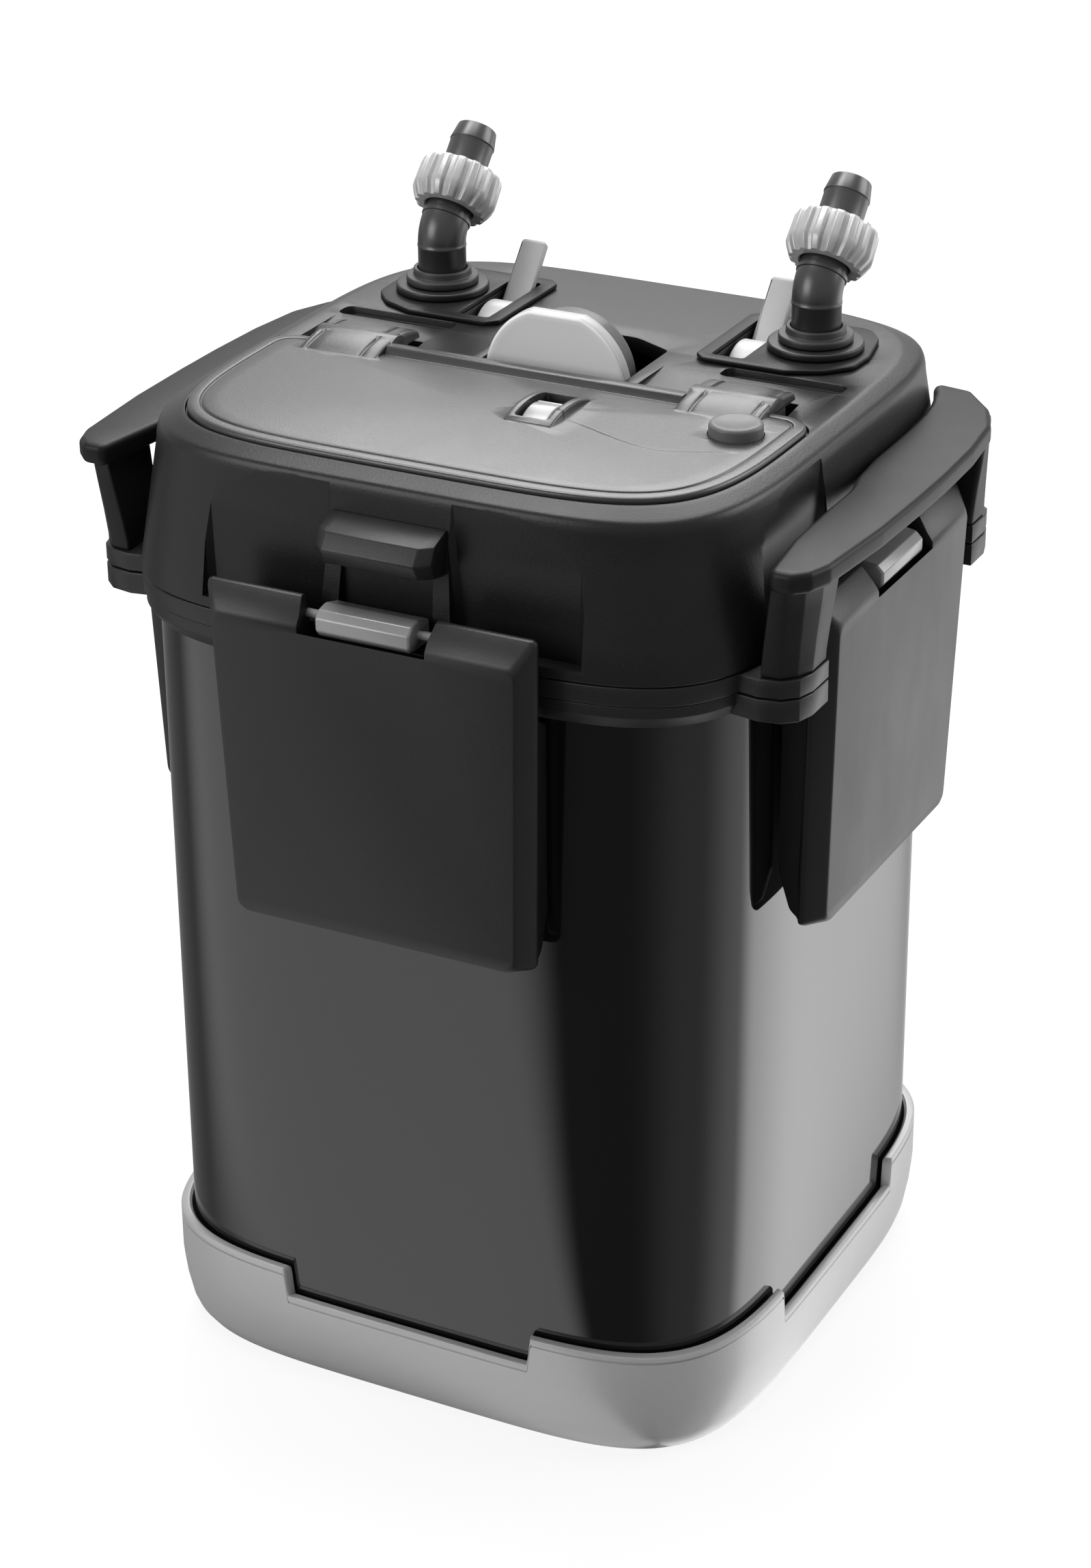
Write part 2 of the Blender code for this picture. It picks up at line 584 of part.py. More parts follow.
def post(name, side, end, matt):
    """A handle post, drawn in towards its foot."""
    shares = ((0.2, 0, 0.77, 0), (0.77, 0, 0.77, 0)) + (
        ((0.73, 0.46, 0.62, 0.46), (0.62, 0.79, 0.38, 0.79), (0.44, 1, 0.12, 1), (0.21, 1, -0.04, 1)))
    head = []
    for near, near_y, far, far_y in shares:
        share, run = (near, near_y) if end < 0 else (far, far_y)
        head.append((HEAD_HALF + share * HANDLE_OUT, POST_START + run * POST_LONG))
    stand = POST_LONG - FOOT_BACK
    foot = [(HEAD_HALF + share * FOOT_OUT, POST_START + run * stand) for share, run in (
        (0.1, 0), (0.97, 0), (0.97, 0.52), (0.8, 0.81), (0.52, 0.99), (0.03, 1.02))]
    rings = [[Vector((side * x, end * y, z)) for x, y in plan]
             for plan, z in ((foot, HEAD_LOW), (head, HANDLE_TOP - HANDLE_THICK / 2))]
    return solid(name, *loft(rings), matt)


def make_handles(matt):
    for side, word in ((-1, "left"), (1, "right")):
        grip = solid("handle_" + word, *loft([grip_plan(side, z) for z in (HANDLE_LOW, HANDLE_TOP)]),
                     matt)
        add(grip, post("post_front_" + word, side, -1, matt), post("post_back_" + word, side, 1, matt))


def make_clamps(matt, grey):
    def across(out, up):
        return (PIVOT - out, up - CLAMP_Z)

    top = CLAMP_Z + CLAMP_ABOVE
    low = top - CLAMP_HIGH
    rings = []
    for out, inset, drop in ((CLAMP_FACE - CLAMP_THICK, 0, 0), (CLAMP_FACE - CLAMP_EDGE, 0, 0),
                             (CLAMP_FACE, CLAMP_BEVEL, 1.9 * CLAMP_BEVEL)):
        half = CLAMP_WIDE / 2 - inset
        y_top, z_top = across(out, top - drop)
        y_low, z_low = across(out - CLAMP_LEAN, low + 0.1 * drop)
        rings.append([Vector(p) for p in ((-half, y_top, z_top), (half, y_top, z_top),
                                          (half - DRAW_IN, y_low, z_low), (-half + DRAW_IN, y_low,
                                                                           z_low))])
    neck = PLATE_HALF + CHEEK_NECK
    cheek = [across(*p) for p in (
        (CLAMP_FACE - CLAMP_THICK + 1 * MM, CLAMP_Z + 3 * MM), (neck - 1.5 * MM, CLAMP_Z + 1 * MM),
        (neck - 1.5 * MM, HEAD_LOW + 1 * MM), (neck, PLATE_LOW), (neck, COLLAR_LOW + 2 * MM),
        (CHEEK_IN, COLLAR_LOW - 1.5 * MM), (CHEEK_IN, low + 20 * MM), (neck - 3 * MM, low + 6 * MM),
        (CLAMP_FACE - CLAMP_LEAN - CLAMP_THICK + 1.5 * MM, low + 2 * MM))]
    bar = [across(*p) for p in (
        (HEAD_HALF - 0.2 * MM, CLAMP_Z + 3 * MM), (HEAD_HALF - 0.2 * MM, CLAMP_Z - BAR_HIGH / 2),
        (PIVOT + 0.7 * BAR_REACH, CLAMP_Z - BAR_HIGH / 2), (PIVOT + BAR_REACH, CLAMP_Z - BAR_HIGH / 4),
        (PIVOT + BAR_REACH, CLAMP_Z + BAR_HIGH / 6), (PIVOT + 0.65 * BAR_REACH,
                                                      CLAMP_Z + 0.42 * BAR_HIGH),
        (PIVOT, CLAMP_Z + BAR_HIGH / 2))]
    swing = math.hypot(BAR_REACH, BAR_HIGH / 2) + 2 * CLEAR
    for k, word in enumerate(("front", "right", "back", "left")):
        turn = k * math.pi / 2
        place = Matrix.Rotation(turn, 3, "Z") @ Vector((0, -PIVOT, CLAMP_Z))
        clamp = solid("clamp_" + word, *loft(rings), matt, place, turn)
        for side, hand in ((-1, "a"), (1, "b")):
            middle = side * (CLAMP_WIDE / 2 - DRAW_IN - CHEEK_THICK / 2 - 0.4 * MM)
            add(clamp, slab("cheek_%s_%s" % (word, hand), cheek, CHEEK_THICK / 2, matt, place, turn,
                            middle))
        sweep = rod("clamp_notch_" + word, swing, -NOTCH_WIDE / 2, NOTCH_WIDE / 2, ALONG_X, None, place,
                    16)
        sweep.rotation_euler = (0, 0, turn)
        gap = slab("clamp_gap_" + word, [(-12 * MM, 0), (8 * MM, 0), (8 * MM, 12 * MM),
                                         (-12 * MM, 12 * MM)],
                   NOTCH_WIDE / 2, None, place, turn)
        reach = NOTCH_WIDE / 2 + 3 * MM
        hole = rod("clamp_hole_" + word, PIN_R + CLEAR, -reach, reach, ALONG_X, None, place, 12)
        hole.rotation_euler = (0, 0, turn)
        cut(clamp, sweep, gap, hole)
        hinge = slab("clamp_bar_" + word, bar, BAR_WIDE / 2, grey, place, turn)
        trunnion = rod("clamp_trunnion_" + word, PIN_R, -reach + CLEAR, reach - CLEAR, ALONG_X, grey,
                       place, 12)
        trunnion.rotation_euler = (0, 0, turn)
        add(hinge, trunnion)


def make_lid(matt, grey, silver, steel):
    rim = LID_HALF - 0.8 * MM
    levels = [(LID_HALF, LID_LOW), (LID_HALF, LID_TOP - 0.8 * MM), (rim, LID_TOP)]
    lid = solid("lid", *loft([front_part(half, LID_REAR, z) for half, z in levels]), matt)
    hinge = (0, HINGE_Y, HINGE_Z)
    for side, word in ((-1, "left"), (1, "right")):
        start, end = sorted((side * KNUCKLE_FROM, side * KNUCKLE_TO))
        add(lid, rod("lid_knuckle_" + word, KNUCKLE_R, start, end, ALONG_X, matt, hinge))
        brow = [(HINGE_Y - BROW_AHEAD, LID_TOP - 1 * MM), (HINGE_Y + 0.5 * KNUCKLE_R, LID_TOP - 1 * MM),
                (HINGE_Y + BROW_BEHIND, DECK + 0.6 * MM)]
        for k in range(6):
            angle = math.pi * (k + 0.5) / 6
            run = BROW_BEHIND if k < 3 else BROW_AHEAD
            rise = HINGE_Z + KNUCKLE_R - LID_TOP
            brow.append((HINGE_Y + run * math.cos(angle), LID_TOP + rise * math.sin(angle)))
        add(lid, slab("lid_brow_" + word, brow, (KNUCKLE_TO - KNUCKLE_FROM) / 2 - CLEAR, matt,
                      middle=side * (KNUCKLE_FROM + KNUCKLE_TO) / 2))
    frame_low = LID_TOP - 1 * MM
    wide, long = CATCH_WIDE / 2, CATCH_LONG / 2
    add(lid, slab("catch_frame", [(CATCH_Y - long, frame_low), (CATCH_Y + long, frame_low),
                                  (CATCH_Y + 0.6 * long, LID_TOP + CATCH_RISE), (CATCH_Y - 0.6 * long,
                                                                                 LID_TOP + CATCH_RISE)],
                  wide, matt, middle=CATCH_X))
    slot_in, slot_long = wide - CATCH_RAIL, long - CATCH_RAIL
    deep = LID_THICK + CATCH_RISE
    cut(lid, block("catch_slot", (CATCH_X - slot_in, CATCH_Y - slot_long, LID_TOP - deep),
                   (CATCH_X + slot_in, CATCH_Y + slot_long, LID_TOP + deep)))
    cut(lid, rod("button_hole", BUTTON_R + CLEAR, LID_TOP - deep, LID_TOP + deep, Matrix.Identity(4),
                 None,
                 (BUTTON_X, BUTTON_Y, 0)))
    cut(lid, rod("lid_bore", ROD_R + CLEAR, -KNUCKLE_TO - 2 * MM, KNUCKLE_TO + 2 * MM, ALONG_X, None,
                 hinge))
    home(lid, hinge)
    for side, word in ((-1, "left"), (1, "right")):
        start, end = sorted((side * (KNUCKLE_FROM - ROD_REACH), side * (KNUCKLE_TO + ROD_REACH)))
        rod("lid_pin_" + word, ROD_R, start, end, ALONG_X, steel, hinge, 12)

    y_low = CATCH_Y - slot_long + CLEAR
    y_high = CATCH_Y + slot_long - CLEAR - SLIDER_TRAVEL
    crown = LID_TOP + 0.8 * CATCH_RISE
    slider = slab("catch_slider", [(y_low, LID_LOW - 1 * MM), (y_high, LID_LOW - 1 * MM),
                                   (y_high, LID_TOP + 1 * MM),
                                   (y_high - 4 * MM, crown - 0.6 * MM), ((y_low + y_high) / 2, crown),
                                   (y_low + 4 * MM, crown - 0.6 * MM), (y_low, LID_TOP + 1 * MM)],
                  slot_in - CLEAR, grey, middle=CATCH_X)
    add(slider, block("slider_flange", (CATCH_X - slot_in - 2 * MM, y_low - 2 * MM, LID_LOW - 2.8 * MM),
                      (CATCH_X + slot_in + 2 * MM, y_high + 2 * MM, LID_LOW - CLEAR), grey))
    foot = LID_LOW - BUTTON_TRAVEL
    turned("push_button", [
        (BUTTON_R + 1.1 * MM, foot), (BUTTON_R + 1.1 * MM, LID_LOW - CLEAR), (BUTTON_R, LID_LOW - CLEAR),
        (BUTTON_R, LID_TOP + BUTTON_RISE - 1 * MM), (BUTTON_R - 1 * MM, LID_TOP + BUTTON_RISE)],
        silver, place=(BUTTON_X, BUTTON_Y, 0))


def make_dial(pale, gloss):
    face = []
    for k in range(32):
        angle = 2 * math.pi * (k + 0.5) / 32
        face.append((DIAL_R * math.cos(angle), min(DIAL_R * math.sin(angle), DIAL_FLAT)))
    back = DIAL_Y + DIAL_THICK
    rings = [[Vector((x, y, DIAL_Z + z)) for x, z in face] for y in (DIAL_Y, back)]
    dial = solid("flow_dial", *loft(rings), pale)
    add(dial, rod("dial_spindle", SPINDLE_R, back - 1 * MM, back + DRUM_LONG - 3 * MM, ALONG_Y, pale,
                  (0, 0, DIAL_Z)))
    home(dial, (0, DIAL_Y, DIAL_Z))
    start = back + CLEAR
    end = start + DRUM_LONG
    bore = SPINDLE_R + CLEAR
    drum = turned("dial_housing", [(bore, start), (DRUM_R - 1.5 * MM, start), (DRUM_R, start + 1.5 * MM),
                                   (DRUM_R, end),
                                   (bore, end)], gloss, ALONG_Y, True, 28, (0, 0, DIAL_Z))
    seat = PLATE_TOP + CLEAR + MOTOR_HIGH + CLEAR
    add(drum, block("dial_saddle", (-DRUM_R / 2, start + 4 * MM, seat), (DRUM_R / 2, end - 4 * MM,
                                                                         DIAL_Z - DRUM_R + 6 * MM),
                    gloss))


def elbow_end():
    return Vector((0, BEND_R * (1 - math.cos(TILT)), PIPE_RISE + BEND_R * math.sin(TILT)))


def elbow_rings():
    """Outer skin up the pipe and round the bend, then the bore back down."""
    path = [(Matrix.Identity(4), PIPE_R), (Matrix.Translation((0, 0, PIPE_RISE)), PIPE_R)]
    for k in range(1, 5):
        angle = TILT * k / 4
        place = Vector((0, BEND_R * (1 - math.cos(angle)), PIPE_RISE + BEND_R * math.sin(angle)))
        path.append((Matrix.Translation(place) @ Matrix.Rotation(-angle, 4, "X"), PIPE_R))
    end = path[-1][0]
    step = 0.6 * MM
    path += [(end @ Matrix.Translation((0, 0, step)), PIPE_R + 0.4 * MM),
             (end @ Matrix.Translation((0, 0, 3 * step)),
             PIPE_R + 0.4 * MM), (end @ Matrix.Translation((0, 0, 4 * step)), PIPE_R - CLEAR),
             (end @ Matrix.Translation((0, 0, STEM)), PIPE_R - CLEAR)]
    outer = [circle(radius, 0, frame, 16) for frame, radius in path]
    inner = [circle(PIPE_BORE, 0, path[k][0], 16) for k in (9, 5, 4, 3, 2, 1, 0)]
    return outer + inner


def ribbed(radius, height, frame):
    ring = []
    for k in range(2 * NUT_RIBS):
        angle = math.pi * k / NUT_RIBS
        reach = radius - (1.3 * MM if k % 2 else 0)
        ring.append(frame @ Vector((reach * math.cos(angle), reach * math.sin(angle), height)))
    return ring


def make_connector(word, side, matt, rubber, grey, white):
    x = side * HOSE_X
    inner_x = side * (LEVER_X - LEVER_WIDE / 2 - SLOT_SIDE - PLATE_EDGE)
    outer_x = x + side * PLATE_SIDE
    low_y, high_y = HOSE_Y - PLATE_FRONT, HOSE_Y + PLATE_BACK
    corner = side * 4 * MM
    plan = [(inner_x + corner, low_y), (x, low_y), (x + 0.6 * side * PLATE_SIDE, low_y + 6 * MM),
            (outer_x - 0.2 * corner, low_y + 15 * MM), (outer_x, HOSE_Y), (outer_x - corner,
                                                                           high_y - 9 * MM),
            (x + 0.5 * side * PLATE_SIDE, high_y), (inner_x + corner, high_y), (inner_x, high_y - 4 * MM),
            (inner_x, low_y + 4 * MM)]
    plate = prism("connector_plate_" + word, plan, CONNECTOR_LOW, CONNECTOR_LOW + PLATE_RISE, matt)
    below, high = DECK - DECK_THICK, DECK + 2 * DECK_THICK
    cut(plate, rod("connector_hole_" + word, ADAPTER_R + CLEAR, below, high, Matrix.Identity(4), None,
                   (x, HOSE_Y, 0)),
        lever_slot("connector_slot_" + word, side, below, high))

    adapter_low = PLATE_TOP + CLEAR
    ball_room = BALL_R + CLEAR
    adapter = turned("adapter_" + word, [
        (ADAPTER_R, adapter_low), (ADAPTER_R, FLANGE_LOW), (ADAPTER_FLANGE, FLANGE_LOW), (ADAPTER_FLANGE,
                                                                                          FLANGE_TOP),
        (ADAPTER_BORE, FLANGE_TOP), (ADAPTER_BORE, BALL_Z + ball_room), (ball_room, BALL_Z + ball_room),
        (ball_room, BALL_Z - ball_room), (ADAPTER_BORE, BALL_Z - ball_room), (ADAPTER_BORE, adapter_low)],
        matt, closed=True, count=24, place=(x, HOSE_Y, 0))
    stem_start, stem_end = sorted((-side * (BARB_BORE + 1 * MM),
                                   side * (LEVER_X + LEVER_WIDE / 2 + CLEAR) - x))
    valve_axis = (x, HOSE_Y, BALL_Z)
    cut(adapter, rod("stem_hole_" + word, STEM_R + CLEAR, stem_start, stem_end, ALONG_X, None,
                     valve_axis, 16))
    angle = math.acos(BARB_BORE / BALL_R)
    arc = [(BALL_R * math.cos(angle * (k / 3 - 1)),
            BALL_R * math.sin(angle * (k / 3 - 1))) for k in range(7)]
    ball = turned("valve_ball_" + word, arc, white, closed=True, place=valve_axis)
    add(ball, rod("valve_stem_" + word, STEM_R, stem_start, stem_end, ALONG_X, white, valve_axis, 16))

    collar_low = FLANGE_TOP + CLEAR
    inside = PIPE_R + CLEAR
    turned("grommet_" + word, [
        (inside, collar_low), (GROMMET_R, collar_low), (GROMMET_R, collar_low + GROMMET_HIGH / 2),
        (SEAT_R, collar_low + GROMMET_HIGH / 2), (SEAT_R, collar_low + GROMMET_HIGH),
                               (inside, collar_low + GROMMET_HIGH)],
        rubber, closed=True, place=(x, HOSE_Y, 0))
    base = Vector((x, HOSE_Y, collar_low))
    solid("elbow_" + word, *loft(elbow_rings(), True), matt, base)
    end = base + elbow_end()
    lean = Matrix.Rotation(-TILT, 4, "X")
    shoulder = NUT_FROM + 0.3 * NUT_LONG
    top = NUT_FROM + NUT_LONG
    bore = PIPE_R
    rings = [ribbed(NUT_FOOT_R, NUT_FROM, lean), ribbed(NUT_R, shoulder, lean), ribbed(NUT_R - 0.5 * MM,
                                                                                       top, lean),
             circle(bore, top, lean, 2 * NUT_RIBS), circle(bore, NUT_FROM, lean, 2 * NUT_RIBS)]
    solid("hose_nut_" + word, *loft(rings, True), grey, end, sharp=50)
    start = STEM + CLEAR
    tip = start + BARB_LONG
    turned("hose_barb_" + word, [
        (PIPE_R - CLEAR, start), (PIPE_R - CLEAR, top + CLEAR), (BARB_R, top + 2 * CLEAR),
                                 (BARB_R, tip - 7 * MM),
        (BARB_R + CLEAR, tip - 6.7 * MM), (BARB_TIP_R, tip), (BARB_BORE, tip), (BARB_BORE, start)],
        matt, lean, True, place=end)

    pivot = (side * LEVER_X, HOSE_Y, BALL_Z)
    half = LEVER_WIDE / 2
    back = Matrix.Rotation(-LEVER_LEAN, 4, "X")

    def leaning(name, wide, front, rear, low, high, finish):
        made = prism(name, [(-wide, front), (wide, front), (wide, rear), (-wide, rear)], low, high,
                     finish)
        made.data.transform(back)
        made.location = pivot
        return made

    seat = HUB_R + CLEAR
    tang = LEVER_TANG / 2
    depth = 0.6 * HUB_R
    lever = leaning("valve_lever_" + word, half, 0, LEVER_THICK, seat, LEVER_LONG, grey)
    add(lever, leaning("lever_tang_" + word, tang, 1 * MM, LEVER_THICK - 1 * MM, depth, seat + 1 * MM,
                       grey))
    hub = rod("lever_hub_" + word, HUB_R, -half, half, ALONG_X, white, pivot, 32)
    cut(hub, leaning("tang_pocket_" + word, tang + CLEAR, 1 * MM - CLEAR, LEVER_THICK - 1 * MM + CLEAR,
                     depth - CLEAR,
                     seat + 1 * MM, None))


def make_motor(matt, gloss, steel, copper, dark, white):
    low = PLATE_TOP + CLEAR
    axis = (0, MOTOR_Y, 0)
    top = low + MOTOR_HIGH
    inner = MOTOR_R - MOTOR_WALL
    turned("motor_housing", [(inner, top - MOTOR_WALL), (inner, low), (MOTOR_R, low), (MOTOR_R, top)],
           gloss,
           count=32, place=axis)
    magnet_low = low + 1.3 * MM
    magnet_top = magnet_low + MAGNET_HIGH
    well_in = MAGNET_R + CLEAR
    well_out = well_in + WELL_WALL
    flange = 1.5 * MM
    ceiling = magnet_top + 2 * MM
    turned("rotor_well", [(well_in, ceiling), (well_in, low), (inner - 10 * MM, low), (inner - 10 * MM,
                                                                                       low + flange),
                          (well_out, low + flange), (well_out, ceiling + WELL_WALL)], matt, place=axis)
    stator_low = low + flange + CLEAR
    core_out = 22 * MM
    turned("stator_core", [(well_out + CLEAR, stator_low), (core_out, stator_low),
                           (core_out, stator_low + 12 * MM),
                           (well_out + CLEAR, stator_low + 12 * MM)], steel, closed=True, place=axis)
    turned("stator_coil", [(core_out + CLEAR, stator_low), (inner - 0.6 * MM, stator_low),
                           (inner - 0.6 * MM, stator_low + 15 * MM),
                           (core_out + CLEAR, stator_low + 15 * MM)], copper, closed=True, place=axis)
    bore = SHAFT_R + CLEAR
    turned("rotor_magnet", [(bore, magnet_low), (MAGNET_R, magnet_low), (MAGNET_R, magnet_top),
                            (bore, magnet_top)],
           dark, closed=True, place=axis)
    volute_top = PLATE_LOW - CLEAR
    volute_low = volute_top - VOLUTE_HIGH
    volute_floor = volute_low + VOLUTE_WALL
    rod("rotor_shaft", SHAFT_R, volute_low + 0.5 * MM, ceiling - CLEAR, Matrix.Identity(4), steel, axis,
        12)
    volute = turned("volute_cover", [
        (VOLUTE_R, volute_low), (VOLUTE_R, volute_top), (VOLUTE_R - VOLUTE_WALL, volute_top),
        (VOLUTE_R - VOLUTE_WALL, volute_floor)], matt, count=28, place=axis)
    for k in range(3):
        angle = 2 * math.pi * k / 3
        cut(volute, rod("inlet_hole_%d" % k, 5 * MM, volute_low - 4 * MM, volute_floor + 2 * MM,
                        Matrix.Identity(4), None,
                        (10 * MM * math.cos(angle), MOTOR_Y + 10 * MM * math.sin(angle), 0), 12))
    cut(volute, rod("shaft_hole", bore, volute_low - 4 * MM, volute_floor + 2 * MM, Matrix.Identity(4),
                    None, axis, 12))

    disc_low = volute_floor + 0.65 * (VOLUTE_HIGH - VOLUTE_WALL)
    impeller = turned("impeller", [(4 * MM, volute_floor + 1.5 * MM), (4 * MM, disc_low),
                                   (IMPELLER_R, disc_low),
                                   (IMPELLER_R, disc_low + 2 * MM), (5 * MM, disc_low + 2 * MM),
                                   (5 * MM, magnet_low - CLEAR)],
                      white, place=axis)
    for k in range(BLADES):
        blade = block("impeller_blade_%d" % k, (3 * MM, -0.8 * MM, volute_floor + 1.5 * MM),
                      (IMPELLER_R - 1 * MM, 0.8 * MM, disc_low + 1 * MM), white)
        blade.rotation_euler = (0, 0, 2 * math.pi * k / BLADES)
        blade.location = axis
        add(impeller, blade)
    cut(impeller, rod("impeller_bore", bore, volute_low, magnet_low + 2 * MM, Matrix.Identity(4), None,
                      axis, 12))

    away = Vector((HOSE_X, HOSE_Y - MOTOR_Y, 0))
    span = away.length
    along = away.normalized()
    tilt_axis = Vector((0, 0, 1)).cross(along)
    turn = DUCT_R + 2.5 * MM
    duct_z = volute_top - CLEAR - turn

    def duct_frame(run, rise, angle):
        place = Vector(axis) + along * run + Vector((0, 0, rise))
        return Matrix.Translation(place) @ Matrix.Rotation(angle, 4, tilt_axis)

    frames = [duct_frame(VOLUTE_R + CLEAR, duct_z, math.pi / 2)]
    for k in range(5):
        angle = math.pi / 2 * (1 - k / 4)
        frames.append(duct_frame(span - turn + turn * math.cos(angle),
                                 duct_z + turn - turn * math.sin(angle), angle))
    frames.append(duct_frame(span, PLATE_TOP, 0))
    rings = [circle(DUCT_R, 0, frame, 16) for frame in frames] + [circle(DUCT_BORE, 0, frame,
                                                                         16) for frame in reversed(frames)]
    solid("outlet_duct", *loft(rings, True), matt)
    port = duct_frame(VOLUTE_R, duct_z, math.pi / 2)
    cut(volute, solid("outlet_port", *loft([circle(DUCT_BORE, z, port, 16) for z in (-6 * MM, 6 * MM)]),
                      None))


def make_baskets(plastic, foam, ceramic, floss, matt):
    riser_hole = RISER_R + 1 * MM
    inner = BASKET_HALF - BASKET_WALL
    level = FLOOR + CLEAR
    fills = (("media_coarse", foam), ("media_ceramic", ceramic), ("media_fine", floss))
    for k in range(BASKETS):
        top = level + BASKET_HIGH
        floor = level + BASKET_FOOT + BASKET_WALL
        basket = squared("basket_%d" % (k + 1), [
            (inner, level + BASKET_FOOT), (inner, level), (BASKET_HALF, level), (BASKET_HALF, top),
                                                 (inner, top),
            (inner, floor)], plastic, count=40)
        holes = [rod("basket_hole_%d" % (k + 1), riser_hole, level, floor + 4 * MM, Matrix.Identity(4),
                     None,
                     (-HOSE_X, HOSE_Y, 0), 16)]
        for row in range(5):
            y = (row - 2) * 30 * MM - 20 * MM
            holes.append(block("basket_slot_%d_%d" % (k + 1, row), (-0.75 * inner, y - 4 * MM,
                                                                    level + 2 * MM),
                               (0.75 * inner, y + 4 * MM, floor + 2 * MM)))
        cut(basket, *holes)
        name, finish = fills[k % len(fills)]
        media = squared(name if k < len(fills) else "%s_%d" % (name, k + 1), [
            (inner - CLEAR, floor + CLEAR), (inner - CLEAR, top - MEDIA_SPARE)], finish, count=40)
        cut(media, rod("media_hole_%d" % (k + 1), riser_hole, level, top, Matrix.Identity(4), None,
                       (-HOSE_X, HOSE_Y, 0), 16))
        level = top + CLEAR
    low = FLOOR + 3 * MM
    turned("intake_riser", [(RISER_R, low), (RISER_R, PLATE_TOP), (RISER_R - RISER_WALL, PLATE_TOP),
                            (RISER_R - RISER_WALL, low)],
           matt, closed=True, count=16, place=(-HOSE_X, HOSE_Y, 0))


def make_gland(rubber):
    """Only the outlet of the mains lead, in a pocket of the back wall: the lead itself stays off."""
    seat = HEAD_HALF - HEAD_TAPER - POCKET_IN + CLEAR
    place = (-0.5 * (POCKET_FROM + POCKET_TO), 0, HANDLE_LOW - 3 * MM)
    turned("cord_gland", [(GLAND_R, seat), (GLAND_R, seat + 3 * MM), (0.75 * GLAND_R, seat + 4 * MM),
                          (0.67 * GLAND_R, seat + GLAND_LONG), (CORD_R, seat + GLAND_LONG), (CORD_R, seat)],
           rubber, ALONG_Y, True, 16, place)


def build():
    matt = look("matt_black", (0.022, 0.022, 0.023), 0.55)
    gloss = look("gloss_black", (0.012, 0.012, 0.013), 0.12)
    soft = look("soft_grey", (0.13, 0.13, 0.13), 0.7)
    grey = look("mid_grey", (0.2, 0.2, 0.2), 0.45)
    pale = look("pale_grey", (0.55, 0.55, 0.55), 0.4)
    silver = look("silver_grey", (0.3, 0.3, 0.3), 0.35, 0.5)
    white = look("white", (0.75, 0.75, 0.74), 0.4)
    rubber = look("rubber", (0.02, 0.02, 0.02), 0.7)
    steel = look("steel", (0.5, 0.5, 0.5), 0.3, 1.0)
    copper = look("copper", (0.6, 0.25, 0.1), 0.4, 1.0)
    dark = look("ferrite", (0.05, 0.05, 0.05), 0.5)
    foam = look("foam", (0.05, 0.12, 0.3), 0.95)
    ceramic = look("ceramic", (0.6, 0.5, 0.4), 0.9)
    floss = look("floss", (0.8, 0.8, 0.8), 0.95)
    make_base(soft)
    make_canister(gloss, matt)
    make_head_plate(matt, rubber)
    make_shroud(matt)
    make_catch_blocks(matt)
    make_handles(matt)
    make_clamps(matt, grey)
    make_lid(matt, grey, silver, steel)
    make_dial(pale, gloss)
    make_connector("in", -1, matt, rubber, grey, white)
    make_connector("out", 1, matt, rubber, grey, white)
    make_motor(matt, gloss, steel, copper, dark, white)
    make_baskets(matt, foam, ceramic, floss, matt)
    make_gland(rubber)


build()
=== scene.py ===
import math

import bmesh
import bpy
import numpy as np
from mathutils import Matrix, Vector

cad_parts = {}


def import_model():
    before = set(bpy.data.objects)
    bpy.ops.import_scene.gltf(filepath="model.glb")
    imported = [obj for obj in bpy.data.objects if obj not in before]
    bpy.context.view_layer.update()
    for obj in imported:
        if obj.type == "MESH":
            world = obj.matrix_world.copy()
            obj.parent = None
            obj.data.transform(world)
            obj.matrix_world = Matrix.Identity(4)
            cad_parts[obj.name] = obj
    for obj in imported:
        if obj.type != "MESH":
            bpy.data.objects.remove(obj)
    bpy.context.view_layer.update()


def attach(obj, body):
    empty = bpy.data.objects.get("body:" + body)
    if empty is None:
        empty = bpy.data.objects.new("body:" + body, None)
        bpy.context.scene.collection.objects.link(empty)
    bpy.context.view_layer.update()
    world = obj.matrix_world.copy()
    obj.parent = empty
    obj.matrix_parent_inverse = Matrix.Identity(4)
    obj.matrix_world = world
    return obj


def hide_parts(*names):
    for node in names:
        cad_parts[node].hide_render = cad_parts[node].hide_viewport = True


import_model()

# sizes in this file are millimetres, and turn into metres where a mesh is made
mm = 0.001
squareness = 4.8  # power of the rounded square that every outline follows
level = {
    "canisterLow": 6.3, "rim": 306.0, "collarLow": 300.0, "collarTop": 309.2, "plateLow": 309.5,
    "plateTop": 316.7, "headLow": 317.0, "deck": 376.0, "lidLow": 374.3, "lidTop": 378.6,
    "connector": 376.3, "flange": 378.3, "seat": 381.3,
}

# camera: solved from the photograph, which is 1598 x 2296
lens = {
    "azimuth": 27.417, "elevation": 25.989, "roll": -0.5, "distance": 1453.52,
    "aim": (-8.043, 9.927, 203.158), "focal": 5487.26, "high": 2296,
}


